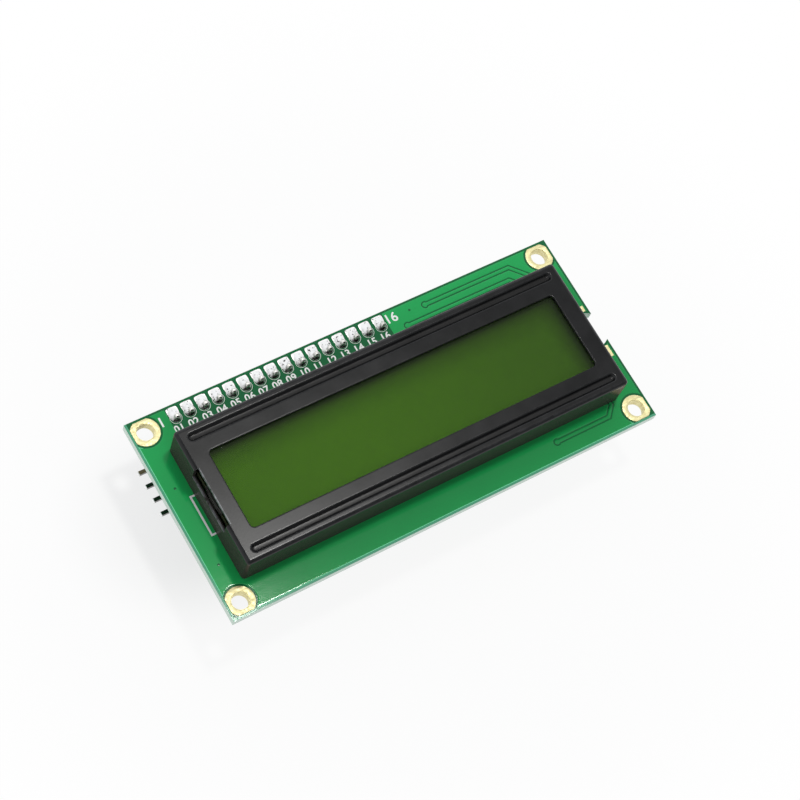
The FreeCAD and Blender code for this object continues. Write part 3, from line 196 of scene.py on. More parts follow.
# Plastics, resins, ceramics, films and inks of one colour, with a fine moulded, cast or fired grain: tone,
# shade, roughness, and the grain's size and height.
plainFinishes = {
    # Epoxy dropped over a chip and cured: black, with a soft gloss that swells and dips.
    "sealingResin": ("#131314", "#1E1E1F", 0.28, 1.5, 0.02),
    # Nylon moulded into strips and a cap: black, with a dull sheen and a fine grain.
    "mouldedNylon": ("#121212", "#1B1B1C", 0.42, 0.15, 0.004),
    # Filled epoxy moulded round a chip: charcoal and matt, with the tool's even grain.
    "mouldedEpoxy": ("#1C1C1D", "#262627", 0.5, 0.12, 0.006),
    # Glass glaze fired over a resistor: black and glossy, with slight ripples.
    "resistorGlaze": ("#101113", "#191A1D", 0.2, 0.4, 0.002),
    # Ceramic fired into small capacitors: light brown, smooth and slightly mottled.
    "firedCeramic": ("#A98563", "#967250", 0.38, 0.2, 0.003),
    # Polyester moulded into a housing: a strong satin blue.
    "trimmerPolyester": ("#1D5FAE", "#1A569E", 0.4, 0.25, 0.003),
    # Acetal moulded into the trimmer's rotor: ivory and waxy.
    "rotorAcetal": ("#F0ECE0", "#E4DFD1", 0.45, 0.25, 0.003),
    # Alumina pressed and fired under the resistor track: white and chalky.
    "firedAlumina": ("#F1F0EC", "#E3E1DB", 0.6, 0.1, 0.004),
    # Silicone laid up in plain and carbon layers: matt pink with fine dark stripes.
    "contactSilicone": ("#C97F78", "#2A2324", 0.7, 0.3, 0.004),
    # Polyester film filled with white pigment: bright and even, with no shine.
    "reflectorFilm": ("#F4F4F1", "#ECECE8", 0.5, 1.0, 0.002),
    # Glass laminate coated white: off-white and slightly glossy.
    "lampLaminate": ("#E9EAE2", "#DDDED5", 0.4, 0.5, 0.002),
    # Epoxy with phosphor, cast over the lamps: milky yellow-green with a soft shine.
    "milkyResin": ("#DDE29A", "#CDD485", 0.3, 0.6, 0.002),
    # Clear resin cured over the cell's dark end: smoky grey and shiny.
    "smokedResin": ("#3B3C38", "#2E2F2B", 0.18, 0.8, 0.01),
    # Dyed epoxy cast as a lens: red and glossy.
    "redResin": ("#C4392C", "#B02F24", 0.15, 0.5, 0.002),
    # Epoxy ink printed through a screen: flat white with the mesh's faint texture.
    "screenInk": ("#FFFFFF", "#F6F8F4", 0.5, 0.2, 0.003),
    # Photo resist flooded over the adapter: deep blue and glossy, with long low waves.
    "blueMask": ("#10244E", "#0C1C40", 0.18, 3.0, 0.01),
}


def plainShader(add, look):
    grain, tone, bump = grainNodes(add, look, 3.0)
    return add("ShaderNodeBsdfPrincipled", {
        "Base Color": tone, "Roughness": look["roughness"], "IOR": 1.5, "Normal": bump})


for name, row in plainFinishes.items():
    makeMaterial(name, plainShader, dict(zip(("tone", "shade", "roughness", "grain", "height"), row)))

# Clear sheets over the cell. Lamps reach what lies under them.
clearFinishes = {
    # Stretched and coated film: a faint grey-green veil, and weak reflections.
    "polarisingFilm": {"tint": "#DDE3C8", "roughness": 0.06, "index": 1.2, "haze": "#21291B"},
    # Float glass joined to the film above it: all but clear, and it hardly reflects.
    "bondedGlass": {"tint": "#E9F0E4", "roughness": 0.04, "index": 1.12, "haze": "#000000"},
    # Acrylic moulded and polished into a light guide: clear, with a glossy skin.
    "guideAcrylic": {"tint": "#EFF2E4", "roughness": 0.05, "index": 1.49, "haze": "#000000"},
}


def clearShader(add, look):
    through = add("ShaderNodeBsdfTransparent", {"Color": linear(look["tint"])})
    gloss = add("ShaderNodeBsdfGlossy", {"Color": (1, 1, 1, 1), "Roughness": look["roughness"]})
    share = add("ShaderNodeFresnel", {"IOR": look["index"]})
    sheet = add("ShaderNodeMixShader", {0: share, 1: through, 2: gloss})
    haze = add("ShaderNodeBsdfDiffuse", {"Color": linear(look["haze"])})
    return add("ShaderNodeAddShader", {0: sheet, 1: haze})


for name, look in clearFinishes.items():
    makeMaterial(name, clearShader, look)

# Liquid crystal between glasses over its lit guide: an even olive with a soft sheen of its own colour,
# painted darker slowly to the right and strongly at the window's edges, as painted shade from the bezel.
# The glasses' cut sides are nearly black.
crystalFinish = {
    # The edge tone is painted shade; the fades below blend the olive into it.
    "tone": "#92C638", "shade": "#8BC035", "edge": "#2A2D1E", "side": "#333829", "sheen": "#C8FF6A",
    "patchSize": 12.0, "roughness": 0.5, "gloss": 0.3, "topLevel": 4.69,
    "fades": (("X", -15.0, 45.0, 0.42), ("X", 28.3, 33.0, 0.75), ("Y", 1.0, 6.5, 0.5), ("Y", 4.9, 6.6, 0.75),
              ("X", -32.0, -32.8, 0.97)),
}


def crystalShader(add, look):
    spot = millimetres(add)
    axes = add("ShaderNodeSeparateXYZ", {0: spot}).outputs
    patch = add("ShaderNodeTexNoise", {"Vector": spot, "Scale": 1 / look["patchSize"], "Detail": 2.0})
    tone = add("ShaderNodeMix", {
        0: patch, 6: linear(look["tone"]), 7: linear(look["shade"])}, data_type="RGBA")
    unshadedShare = 1.0
    for axis, start, end, share in look["fades"]:
        shadeFade = add("ShaderNodeMapRange", {
            "Value": axes[axis], "From Min": start, "From Max": end, "To Min": 1.0, "To Max": 1.0 - share},
            **eased)
        unshadedShare = add("ShaderNodeMath", {0: unshadedShare, 1: shadeFade}, operation="MULTIPLY")
    # Painted shade: the olive darkens towards the edge tone where the fades fall.
    tone = add("ShaderNodeMix", {0: unshadedShare, 6: linear(look["edge"]), 7: tone}, data_type="RGBA")
    onTop = add("ShaderNodeMath", {0: axes["Z"], 1: look["topLevel"]}, operation="GREATER_THAN")
    tone = add("ShaderNodeMix", {0: onTop, 6: linear(look["side"]), 7: tone}, data_type="RGBA")
    return add("ShaderNodeBsdfPrincipled", {
        "Base Color": tone, "Roughness": look["roughness"], "IOR": 1.5, "Specular IOR Level": look["gloss"],
        "Specular Tint": linear(look["sheen"])})


makeMaterial("crystalLayer", crystalShader, crystalFinish)

# Sizes of the display board and of the copper that its mask lies over.
board = {
    "length": 80.0, "width": 36.0, "thickness": 1.6, "edgeGap": 0.38, "holeInset": 2.5, "padGapRadius": 2.75,
    "notchDepth": 2.4, "notchHalf": 3.3, "notchMiddle": 37.95, "laneLeft": -33.1, "laneRight": 7.3,
    "laneFoot": 12.9, "copperHeight": 0.05, "slope": 0.16, "trackHalf": 0.27, "trackGap": 0.21,
    "viaRadius": 0.45, "dimples": ((-37.8, 5.1), (-37.7, -8.9), (11.9, 16.27)), "dimpleRadius": 0.22,
    "dimpleHeight": 0.005, "dimpleSlope": 0.03,
}

# Solder mask: a green photo resist flooded over copper and glass laminate. It is glossy and slightly wavy,
# and darker where there is no copper under it. The board's cut sides show the pale laminate.
maskFinish = {
    # The rim tone is partly a painted highlight, drawn only at the left and front edges.
    "overLaminate": "#0D6A3A", "rimTone": "#57AC86", "rim": 0.38, "laminate": "#C3DCCB",
    # The bright line tone with its reach, and the lighter tone with its edges, are a painted highlight and
    # sheen.
    "maskThickness": 0.03, "overCopper": "#1CA553", "overCopperDeep": "#17984D", "thin": "#86F7BC",
    "thinReach": 0.9, "levelAbove": 0.999, "slopedBelow": 0.97, "sheer": "#24C568",
    "sheerEdges": ((0.3, ("X", -33.0, -38.0)), (0.4, ("Y", 10.5, 13.0), ("X", -2.0, 6.0))),
    "roughness": 0.08, "waveSize": 1.6, "waveHeight": 0.006, "waveStrength": 0.6, "patchSize": 9.0,
}


# One within the given distance of the board's left and front edges, else nought.
def nearEdges(add, axes, distance):
    near = 0.0
    for axis, reach in (("X", board["length"] / 2), ("Y", board["width"] / 2)):
        edge = add("ShaderNodeMath", {0: axes[axis], 1: distance - reach}, operation="LESS_THAN")
        near = add("ShaderNodeMath", {0: near, 1: edge}, operation="MAXIMUM")
    return near


def glossyMask(add, look, spot, tone):
    wave = add("ShaderNodeTexNoise", {"Vector": spot, "Scale": 1 / look["waveSize"], "Detail": 2.0})
    bump = add("ShaderNodeBump", {
        "Height": wave, "Strength": look["waveStrength"], "Distance": look["waveHeight"] * mm})
    return add("ShaderNodeBsdfPrincipled", {
        "Base Color": tone, "Roughness": look["roughness"], "IOR": 1.5, "Normal": bump})


# Over bare laminate: dark green, with a light rim at the left and front edges and pale cut sides. The rim
# stands for the mask thinning at the routed edge, and is partly a painted highlight, drawn on those edges
# only.
def laminateMask(add, look):
    spot = millimetres(add)
    axes = add("ShaderNodeSeparateXYZ", {0: spot}).outputs
    half = board["thickness"] / 2
    depth = add("ShaderNodeMath", {0: axes["Z"], 1: half}, operation="ADD")
    fromMiddle = add("ShaderNodeMath", {0: depth}, operation="ABSOLUTE")
    side = add("ShaderNodeMath", {0: fromMiddle, 1: half - look["maskThickness"]}, operation="LESS_THAN")
    tone = linear(look["overLaminate"])
    # Painted highlight in part: the light rim at the left and front edges.
    for share, name in ((nearEdges(add, axes, look["rim"]), "rimTone"), (side, "laminate")):
        tone = add("ShaderNodeMix", {0: share, 6: tone, 7: linear(look[name])}, data_type="RGBA")
    return glossyMask(add, look, spot, tone)


# Over copper: fresh green in soft patches, with a painted sheen that makes it a little lighter at the left
# and
# the rear right, and a painted highlight: a bright line on the sloped left and front edges of the copper.
def copperMask(add, look):
    spot = millimetres(add)
    axes = add("ShaderNodeSeparateXYZ", {0: spot}).outputs
    patch = add("ShaderNodeTexNoise", {"Vector": spot, "Scale": 1 / look["patchSize"], "Detail": 3.0})
    tone = add("ShaderNodeMix", {
        0: patch, 6: linear(look["overCopperDeep"]), 7: linear(look["overCopper"])}, data_type="RGBA")
    # Painted sheen: lighter towards the left end and the rear right.
    for share, *ramps in look["sheerEdges"]:
        for axis, start, end in ramps:
            share = add("ShaderNodeMapRange", {
                "Value": axes[axis], "From Min": start, "From Max": end, "To Max": share},
                **eased)
        tone = add("ShaderNodeMix", {0: share, 6: tone, 7: linear(look["sheer"])}, data_type="RGBA")
    # Painted highlight: a bright line on sloped faces near the left and front edges.
    facing = add("ShaderNodeNewGeometry").outputs["True Normal"]
    lean = add("ShaderNodeSeparateXYZ", {0: facing}).outputs["Z"]
    sloped = add("ShaderNodeMapRange", {
        "Value": lean, "From Min": look["levelAbove"], "From Max": look["slopedBelow"]})
    thin = add("ShaderNodeMath", {
        0: sloped, 1: nearEdges(add, axes, look["thinReach"])}, operation="MULTIPLY")
    tone = add("ShaderNodeMix", {0: thin, 6: tone, 7: linear(look["thin"])}, data_type="RGBA")
    return glossyMask(add, look, spot, tone)


makeMaterial("solderMaskOnLaminate", laminateMask, maskFinish)
makeMaterial("solderMaskOnCopper", copperMask, maskFinish)
print("materials done")


# shapes from points and rings
def arcPoints(centre, radius, start, end, steps=20):
    angles = [math.radians(start + (end - start) * n / steps) for n in range(steps + 1)]
    return [(centre[0] + radius * math.cos(a), centre[1] + radius * math.sin(a)) for a in angles]


def circlePoints(centre, radius, count):
    return arcPoints(centre, radius, 0, 360, count)[:-1]


# The outline of a track of even width with round ends, along straight runs. Its start may be a round pad.
def trackLoop(points, halfWidth, startRadius=None):
    startRadius = startRadius or halfWidth
    runs = [(Vector(b) - Vector(a)).normalized() for a, b in zip(points, points[1:])]
    left, right = [], []
    for n, point in enumerate(points):
        before, after = runs[max(n - 1, 0)], runs[min(n, len(runs) - 1)]
        across = Vector((-before.y, before.x)) + Vector((-after.y, after.x))
        across = across.normalized() * halfWidth / math.cos(before.angle(after) / 2)
        left.append(tuple(Vector(point) + across))
        right.append(tuple(Vector(point) - across))
    first, last = (math.degrees(math.atan2(run.y, run.x)) for run in (runs[0], runs[-1]))
    neck = math.degrees(math.asin(halfWidth / startRadius))
    endCap = arcPoints(points[-1], halfWidth, last - 90, last + 90, 8)
    startCap = arcPoints(points[0], startRadius, first + neck, first + 360 - neck, 14)
    return startCap + right[1:-1] + endCap + left[1:-1][::-1]


# A plate filled between its loops, with sloping sides as wide as given. Its foot is sunk by its height.
def plateMesh(loops, level, height, slope):
    curve = bpy.data.curves.new("plate", "CURVE")
    curve.dimensions = "2D"
    curve.fill_mode = "BOTH"
    curve.bevel_depth = slope * mm
    curve.bevel_resolution = 2
    curve.offset = -slope * mm
    for loop in loops:
        spline = curve.splines.new("POLY")
        spline.points.add(len(loop) - 1)
        for point, (x, y) in zip(spline.points, loop):
            point.co = (x * mm, y * mm, 0, 1)
        spline.use_cyclic_u = True
    mesh = plainMesh(place("plate", curve))
    mesh.transform(Matrix.Translation((0, 0, level * mm)) @ Matrix.Diagonal((1, 1, height / slope, 1)))
    return mergedMesh(mesh)


# Doubles are merged and the faces turned outwards.
def mergedMesh(mesh):
    work = bmesh.new()
    work.from_mesh(mesh)
    bmesh.ops.remove_doubles(work, verts=work.verts, dist=1e-7)
    bmesh.ops.dissolve_degenerate(work, edges=work.edges, dist=1e-7)
    bmesh.ops.recalc_face_normals(work, faces=work.faces)
    work.to_mesh(mesh)
    work.free()
    return mesh


def meshOf(work):
    mesh = bpy.data.meshes.new("made")
    work.to_mesh(mesh)
    work.free()
    return mesh


def joinMeshes(meshes):
    work = bmesh.new()
    for mesh in meshes:
        work.from_mesh(mesh)
    return meshOf(work)


def ring(work, loop, level):
    return [work.verts.new((x * mm, y * mm, level * mm)) for x, y in loop]


def bridge(work, rings):
    for near, far in zip(rings, rings[1:]):
        for n in range(len(near)):
            work.faces.new((near[n], near[n - 1], far[n - 1], far[n]))


# A flat outline drawn out into a solid.
def drawOut(work, outline, run):
    grown = bmesh.ops.extrude_face_region(work, geom=[work.faces.new(outline)])["geom"]
    moved = [part for part in grown if isinstance(part, bmesh.types.BMVert)]
    bmesh.ops.translate(work, verts=moved, vec=run)


# One pour with a bare lane for the pins, and gaps round its tracks and pads.
tracks = {
    "upperLong": [(14.8, 16.0), (31.5, 16.0), (33.9, 13.4), (33.9, 11.6)],
    "lowerLong": [(22.0, -14.8), (32.4, -14.8), (34.0, -13.1), (34.0, -12.4)],
    "upperThin": [(10.2, 13.9), (30.4, 13.9), (32.3, 11.9)],
}
holeX, holeY = board["length"] / 2 - board["holeInset"], board["width"] / 2 - board["holeInset"]


def pourOutline():
    look = board
    halfX, halfY = look["length"] / 2 - look["edgeGap"], look["width"] / 2 - look["edgeGap"]
    gap = look["padGapRadius"]
    opening = math.degrees(math.acos((halfX - holeX) / gap))
    notchX = look["length"] / 2 - look["notchDepth"] - look["edgeGap"]
    notchY = look["notchHalf"] + look["edgeGap"]
    middle = (look["notchMiddle"], 0)
    mouth = math.degrees(math.acos((halfX - middle[0]) / notchY))
    loop = arcPoints((-holeX, -holeY), gap, 180 - opening, -90 + opening)
    loop += arcPoints((holeX, -holeY), gap, 270 - opening, opening)
    loop += arcPoints(middle, notchY, -mouth, -90, 8) + [(notchX, -notchY), (notchX, notchY)]
    loop += arcPoints(middle, notchY, 90, mouth, 8)
    loop += arcPoints((holeX, holeY), gap, 360 - opening, 90 + opening)
    loop += [(look["laneRight"], halfY), (look["laneRight"], look["laneFoot"]),
             (look["laneLeft"], look["laneFoot"]), (look["laneLeft"], halfY)]
    loop += arcPoints((-holeX, holeY), gap, 90 - opening, -180 + opening)
    return loop


pourLoops = [pourOutline()]
for points in tracks.values():
    for gap in (board["trackGap"], 0.0):
        pourLoops.append(trackLoop(points, board["trackHalf"] + gap, board["viaRadius"] + gap))
pour = plateMesh(pourLoops, 0.0, board["copperHeight"], board["slope"])
keepPiece("copper_pour", pour, "solderMaskOnCopper", sharpAbove=12)


# The notch narrows to two round points at the board's edge.
def notchPoint(sign):
    reach, half, middle = board["length"] / 2, board["notchHalf"], board["notchMiddle"]
    mouth = math.degrees(math.acos((reach - middle) / half))
    outline = arcPoints((middle, 0), half, sign * 90, sign * mouth, 10) + [(reach, sign * half)]
    work = bmesh.new()
    drawOut(work, ring(work, outline, -board["thickness"]), (0, 0, board["thickness"] * mm))
    return mergedMesh(meshOf(work))


notchPoints = joinMeshes([notchPoint(-1), notchPoint(1)])
keepPiece("notch_points", notchPoints, "solderMaskOnLaminate")

# Three small holes between the layers, which the mask has filled.
dimples = [plateMesh([circlePoints(centre, board["dimpleRadius"], 12)], board["copperHeight"],
                     board["dimpleHeight"], board["dimpleSlope"]) for centre in board["dimples"]]
keepPiece("filled_holes", joinMeshes(dimples), "solderMaskOnLaminate")

# Plated pads round the four holes: two flats each near the board's edges, and a barrel through the board.
holePad = {"radius": 2.42, "flat": 2.1, "bore": 1.45, "height": 0.07, "slope": 0.05, "wall": 0.04, "step": 9}


# The pad's outline: straight at the two angles given, and arcs between them in steps of a few degrees.
def padLoop(centre, flats):
    cut = math.degrees(math.acos(holePad["flat"] / holePad["radius"]))
    corners = sorted((flat + turn) % 360 for flat in flats for turn in (-cut, cut))
    loop = []
    for start, end in zip(corners, corners[1:] + [corners[0] + 360]):
        isFlat = abs(end - start - 2 * cut) < 1
        steps = 1 if isFlat else int((end - start) / holePad["step"])
        loop += arcPoints(centre, holePad["radius"], start, end, steps)[:-1]
    return loop


def barrelMesh(centre, radius, wall):
    work = bmesh.new()
    corners = ((radius, -board["thickness"]), (radius, 0.0), (radius - wall, 0.0),
               (radius - wall, -board["thickness"]))
    rings = [ring(work, circlePoints(centre, reach, 40), level) for reach, level in corners]
    bridge(work, rings + rings[:1])
    return mergedMesh(meshOf(work))


def holePadMeshes():
    look, made = holePad, []
    for sideX in (-1, 1):
        for sideY in (-1, 1):
            centre = (sideX * holeX, sideY * holeY)
            outline = padLoop(centre, (0 if sideX > 0 else 180, 90 if sideY > 0 else 270))
            loops = [outline, circlePoints(centre, look["bore"], 32)]
            for level in (0.0, -board["thickness"]):
                made.append(plateMesh(loops, level, look["height"], look["slope"]))
            made.append(barrelMesh(centre, look["bore"], look["wall"]))
    return made


keepPiece("hole_pads", joinMeshes(holePadMeshes()), "immersionGold", sharpAbove=60)

# Bare pads under the backlight leads, beside the notch.
leadPad = {"left": 36.6, "right": 39.4, "spans": ((-5.7, -3.5), (3.4, 4.5)), "height": 0.06, "slope": 0.04}
leadPads = []
for low, high in leadPad["spans"]:
    left, right = leadPad["left"], leadPad["right"]
    loop = [(left, low), (right, low), (right, high), (left, high)]
    leadPads.append(plateMesh([loop], 0.0, leadPad["height"], leadPad["slope"]))
keepPiece("lead_pads", joinMeshes(leadPads), "immersionGold", sharpAbove=60)
print("board copper done")

pins = {"count": 16, "pitch": 2.54, "firstX": -32.0, "y": 15.5}
pinPlaces = [pins["firstX"] + n * pins["pitch"] for n in range(pins["count"])]

# White ink: plain numbers in the places of the printed names, 1 and 16 at the row's ends, and the bracket.
# The digit share is a digit's height over the size of its font.
ink = {
    "numberHeight": 1.25, "numberY": 13.2, "numberShift": -0.3, "endHeight": 1.65,
    "ends": (("1", (-34.5, 15.1)), ("16", (8.3, 15.5))), "bold": 0.04, "spacing": 1.05, "digitShare": 0.7,
    "bracketX": -36.3, "bracketTop": 2.8, "bracketFoot": -4.2, "bracketArm": 0.9, "lineHalf": 0.165,
    "thickness": 0.01, "slope": 0.02, "onCopper": 0.055, "onLaminate": 0.006,
}


def numberMesh(words, x, y, height, level):
    curve = bpy.data.curves.new("number", "FONT")
    curve.body = words
    curve.size = height * mm / ink["digitShare"]
    curve.align_x = "CENTER"
    curve.offset = ink["bold"] * mm
    curve.extrude = ink["thickness"] * mm / 2
    curve.space_character = ink["spacing"]
    mesh = plainMesh(place("number", curve))
    mesh.transform(Matrix.Translation((x * mm, y * mm, level * mm)))
    return mesh


inkMeshes = [numberMesh(f"{n:02d}", x + ink["numberShift"], ink["numberY"], ink["numberHeight"],
                        ink["onLaminate"]) for n, x in enumerate(pinPlaces, 1)]
inkMeshes += [numberMesh(words, x, y, ink["endHeight"], ink["onCopper"]) for words, (x, y) in ink["ends"]]
left, right, top, foot = (ink["bracketX"], ink["bracketX"] + ink["bracketArm"], ink["bracketTop"],
                          ink["bracketFoot"])
bracket = trackLoop([(right, top), (left, top), (left, foot), (right, foot)], ink["lineHalf"])
inkMeshes.append(plateMesh([bracket], ink["onCopper"], ink["thickness"], ink["slope"]))
keepPiece("printed_marks", joinMeshes(inkMeshes), "screenInk")
print("ink done")

# The pressed bezel: rounded outlines carried along its section, from the flat top over the fold and down the
# walls, round the window's edge and into the two beads.
shell = {
    "halfLength": 35.6, "halfWidth": 12.1, "middleY": -0.65, "top": 6.7, "sheet": 0.5, "foldRadius": 0.65,
    "innerFoldRadius": 0.3, "cornerRadius": 0.65, "leastRadius": 0.05, "margin": 0.1,
    "footRise": 0.1, "footInset": 0.04,
    "windowHalfLength": 32.2, "windowTop": 6.32, "windowFoot": -7.78, "windowRadius": 0.7, "windowLip": 0.14,
    "lipWear": 0.3, "beadY": 10.1, "beadHalf": 33.25, "beadRim": 0.84, "beadFloor": 0.26, "beadDepth": 0.52,
    "beadWear": 0.6, "ridgeFoot": 1.05, "ridgeTop": 0.75, "ridgeDepth": 0.4,
    "slotHalf": 5.1, "slotFoot": 4.0, "slotDepth": 0.7, "leadY": 4.7, "leadHalf": 0.75, "leadTop": 0.5,
}
tab = {"places": (-30, -10, 10, 30), "width": 2.2, "foot": 1.7, "heel": 0.2, "into": 0.5, "clear": 0.02}

# Black enamel sprayed on pressed steel and stoved: satin, with fine orange peel, a film of dust on its
# flats, a rubbed grey line along its folds and rims, and bare metal at the cut rim of the slot. The walls
# are painted a lighter brown-grey with almost no gloss, a painted reflection. Peel, patches and chips are
# noises: size, detail and roughness.
enamelFinish = {
    "black": "#090A0B", "dust": "#141416", "wall": "#383532", "rubbed": "#333335", "bare": "#85868A",
    "roughness": 0.22, "dullRoughness": 0.26, "gloss": 0.35, "wallGloss": 0.05,
    "peel": (0.4, 2.0, 0.5), "patches": (5.0, 5.0, 0.6), "chips": (1.4, 4.0, 0.7),
    "peelHeight": 0.003, "peelStrength": 0.5, "dusty": (0.4, 0.75), "lowered": (6.3, 5.6),
    "broken": (0.35, 0.65), "rimX": -34.72, "lipX": -35.3, "lipLevel": 3.95, "lipHalf": 0.12,
}


# One along the rim of the slot in the left wall: the top's cut edge, and the lip under the slot.
def slotRim(add, look, spot):
    x, y, z = add("ShaderNodeSeparateXYZ", {0: spot}).outputs
    edge = add("ShaderNodeMath", {0: x, 1: look["rimX"]}, operation="LESS_THAN")
    above = add("ShaderNodeMath", {0: z, 1: look["lowered"][0]}, operation="GREATER_THAN")
    upper = add("ShaderNodeMath", {0: edge, 1: above}, operation="MULTIPLY")
    outside = add("ShaderNodeMath", {0: x, 1: look["lipX"]}, operation="LESS_THAN")
    low = add("ShaderNodeMath", {0: z, 1: look["lipLevel"], 2: look["lipHalf"]}, operation="COMPARE")
    lower = add("ShaderNodeMath", {0: outside, 1: low}, operation="MULTIPLY")
    either = add("ShaderNodeMath", {0: upper, 1: lower}, operation="MAXIMUM")
    along = add("ShaderNodeMath", {0: y, 1: shell["middleY"], 2: shell["slotHalf"]}, operation="COMPARE")
    return add("ShaderNodeMath", {0: either, 1: along}, operation="MULTIPLY")


def enamelShader(add, look):
    spot = millimetres(add)
    level = add("ShaderNodeSeparateXYZ", {0: spot}).outputs["Z"]
    peel, patch, chips = [
        add("ShaderNodeTexNoise", {"Vector": spot, "Scale": 1 / size, "Detail": detail, "Roughness": rough})
        for size, detail, rough in (look["peel"], look["patches"], look["chips"])]
    spans = ((patch, look["dusty"]), (level, look["lowered"]), (chips, look["broken"]))
    dusty, low, broken = [
        add("ShaderNodeMapRange", {"Value": value, "From Min": start, "From Max": end})
        for value, (start, end) in spans]
    wear = add("ShaderNodeAttribute", attribute_name="wear").outputs["Fac"]
    rubbed = add("ShaderNodeMath", {0: wear, 1: broken}, operation="MULTIPLY")
    bare = add("ShaderNodeMath", {0: slotRim(add, look, spot), 1: broken}, operation="MULTIPLY")
    tone = linear(look["black"])
    # The wall tone is a painted reflection: the walls turn lighter brown-grey, and their gloss is turned
    # down.
    for share, name in ((dusty, "dust"), (low, "wall"), (rubbed, "rubbed"), (bare, "bare")):
        tone = add("ShaderNodeMix", {0: share, 6: tone, 7: linear(look[name])}, data_type="RGBA")
    rough = add("ShaderNodeMapRange", {
        "Value": patch, "From Min": noiseLow, "From Max": noiseHigh, "To Min": look["roughness"],
        "To Max": look["dullRoughness"]})
    gloss = add("ShaderNodeMapRange", {"Value": low, "To Min": look["gloss"], "To Max": look["wallGloss"]})
    bump = add("ShaderNodeBump", {
        "Height": peel, "Strength": look["peelStrength"], "Distance": look["peelHeight"] * mm})
    return add("ShaderNodeBsdfPrincipled", {
        "Base Color": tone, "Roughness": rough, "IOR": 1.5, "Specular IOR Level": gloss, "Normal": bump})


makeMaterial("stovedBlackEnamel", enamelShader, enamelFinish)


# A ring of the bezel, which says how much the enamel is rubbed there.
def rubbedRing(work, loop, level, wear=0.0):
    verts = ring(work, loop, level)
    for vert in verts:
        vert[work.verts.layers.float["wear"]] = wear
    return verts


def roundedRectangle(halfX, lowY, highY, radius):
    corners = ((halfX - radius, highY - radius, 0), (radius - halfX, highY - radius, 90),
               (radius - halfX, lowY + radius, 180), (halfX - radius, lowY + radius, 270))
    return [point for x, y, start in corners for point in arcPoints((x, y), radius, start, start + 90, 8)]


def wallRing(work, inset, level, wear=0.0):
    lowY, highY = (shell["middleY"] + sign * (shell["halfWidth"] - inset) for sign in (-1, 1))
    radius = max(shell["cornerRadius"] - inset, shell["leastRadius"])
    return rubbedRing(work, roundedRectangle(shell["halfLength"] - inset, lowY, highY, radius), level, wear)


def windowRing(work, out, level, wear=0.0):
    loop = roundedRectangle(shell["windowHalfLength"] + out, shell["windowFoot"] - out,
                            shell["windowTop"] + out, shell["windowRadius"] + out)
    return rubbedRing(work, loop, level, wear)


def beadRing(work, y, radius, level, wear=0.0):
    loop = arcPoints((shell["beadHalf"], y), radius, -90, 90, 18)
    loop += arcPoints((-shell["beadHalf"], y), radius, 90, 270, 18)
    return rubbedRing(work, loop, level, wear)


# Steps of a quarter turn, from the flat into the wall: how far each is from the wall, and how far down.
def quarterTurn(radius, steps):
    angles = [math.pi / 2 * n / steps for n in range(steps + 1)]
    return [(radius * (1 - math.sin(angle)), radius * (1 - math.cos(angle))) for angle in angles]


# From the flat top over the fold, down the wall, round its foot and up inside to the underside. The rubbed
# line lies just below the flat.
def wallRings(work):
    top, sheet, rise, inset = shell["top"], shell["sheet"], shell["footRise"], shell["footInset"]
    rings = [wallRing(work, shell["foldRadius"] + shell["margin"], top)]
    for n, (across, down) in enumerate(quarterTurn(shell["foldRadius"], 8)):
        rings.append(wallRing(work, across, top - down, max(0, 1 - abs(n - 1.5) / 2)))
    for across, level in ((0, rise), (inset, 0), (sheet - inset, 0), (sheet, rise)):
        rings.append(wallRing(work, across, level))
    for across, down in quarterTurn(shell["innerFoldRadius"], 4)[::-1]:
        rings.append(wallRing(work, sheet + across, top - sheet - down))
    return rings


def windowRings(work):
    top, lip = shell["top"], shell["windowLip"]
    rings = [windowRing(work, lip + shell["margin"], top)]
    for n, (across, down) in enumerate(quarterTurn(lip, 4)):
        rings.append(windowRing(work, across, top - down, min(1, n / 2) * shell["lipWear"]))
    rings.append(windowRing(work, 0, top - shell["sheet"]))
    return rings


def easing(part):
    return part * part * (3 - 2 * part)


# A pressed groove, rubbed at its rim, and the ridge that it makes on the underside.
def beadRings(work, y):
    top, under = shell["top"], shell["top"] - shell["sheet"]
    groove = [beadRing(work, y, shell["beadRim"] + shell["margin"], top)]
    for n in range(11):
        radius = shell["beadRim"] + (shell["beadFloor"] - shell["beadRim"]) * n / 10
        wear = max(0, shell["beadWear"] * (1 - abs(n - 1) / 2))
        groove.append(beadRing(work, y, radius, top - shell["beadDepth"] * easing(n / 10), wear))
    ridge = []
    for n in range(6):
        radius = shell["ridgeFoot"] + (shell["ridgeTop"] - shell["ridgeFoot"]) * n / 5
        ridge.append(beadRing(work, y, radius, under - shell["ridgeDepth"] * easing(n / 5)))
    return groove, ridge


# A flat face between outlines that are already edges.
def flatFace(work, *rings):
    edges = [work.edges.get((verts[n], verts[n - 1])) for verts in rings for n in range(len(verts))]
    bmesh.ops.triangle_fill(work, edges=edges, use_beauty=True, normal=(0, 0, 1))


def bezelMesh():
    work = bmesh.new()
    work.verts.layers.float.new("wear")
    wall, window = wallRings(work), windowRings(work)
    bridge(work, wall)
    bridge(work, window)
    topEdges, underEdges = [wall[0], window[0]], [wall[-1], window[-1]]
    for y in (shell["middleY"] - shell["beadY"], shell["middleY"] + shell["beadY"]):
        groove, ridge = beadRings(work, y)
        for rings, edges in ((groove, topEdges), (ridge, underEdges)):
            bridge(work, rings)
            flatFace(work, rings[-1])
            edges.append(rings[0])
    flatFace(work, *topEdges)
    flatFace(work, *underEdges)
    return mergedMesh(meshOf(work))


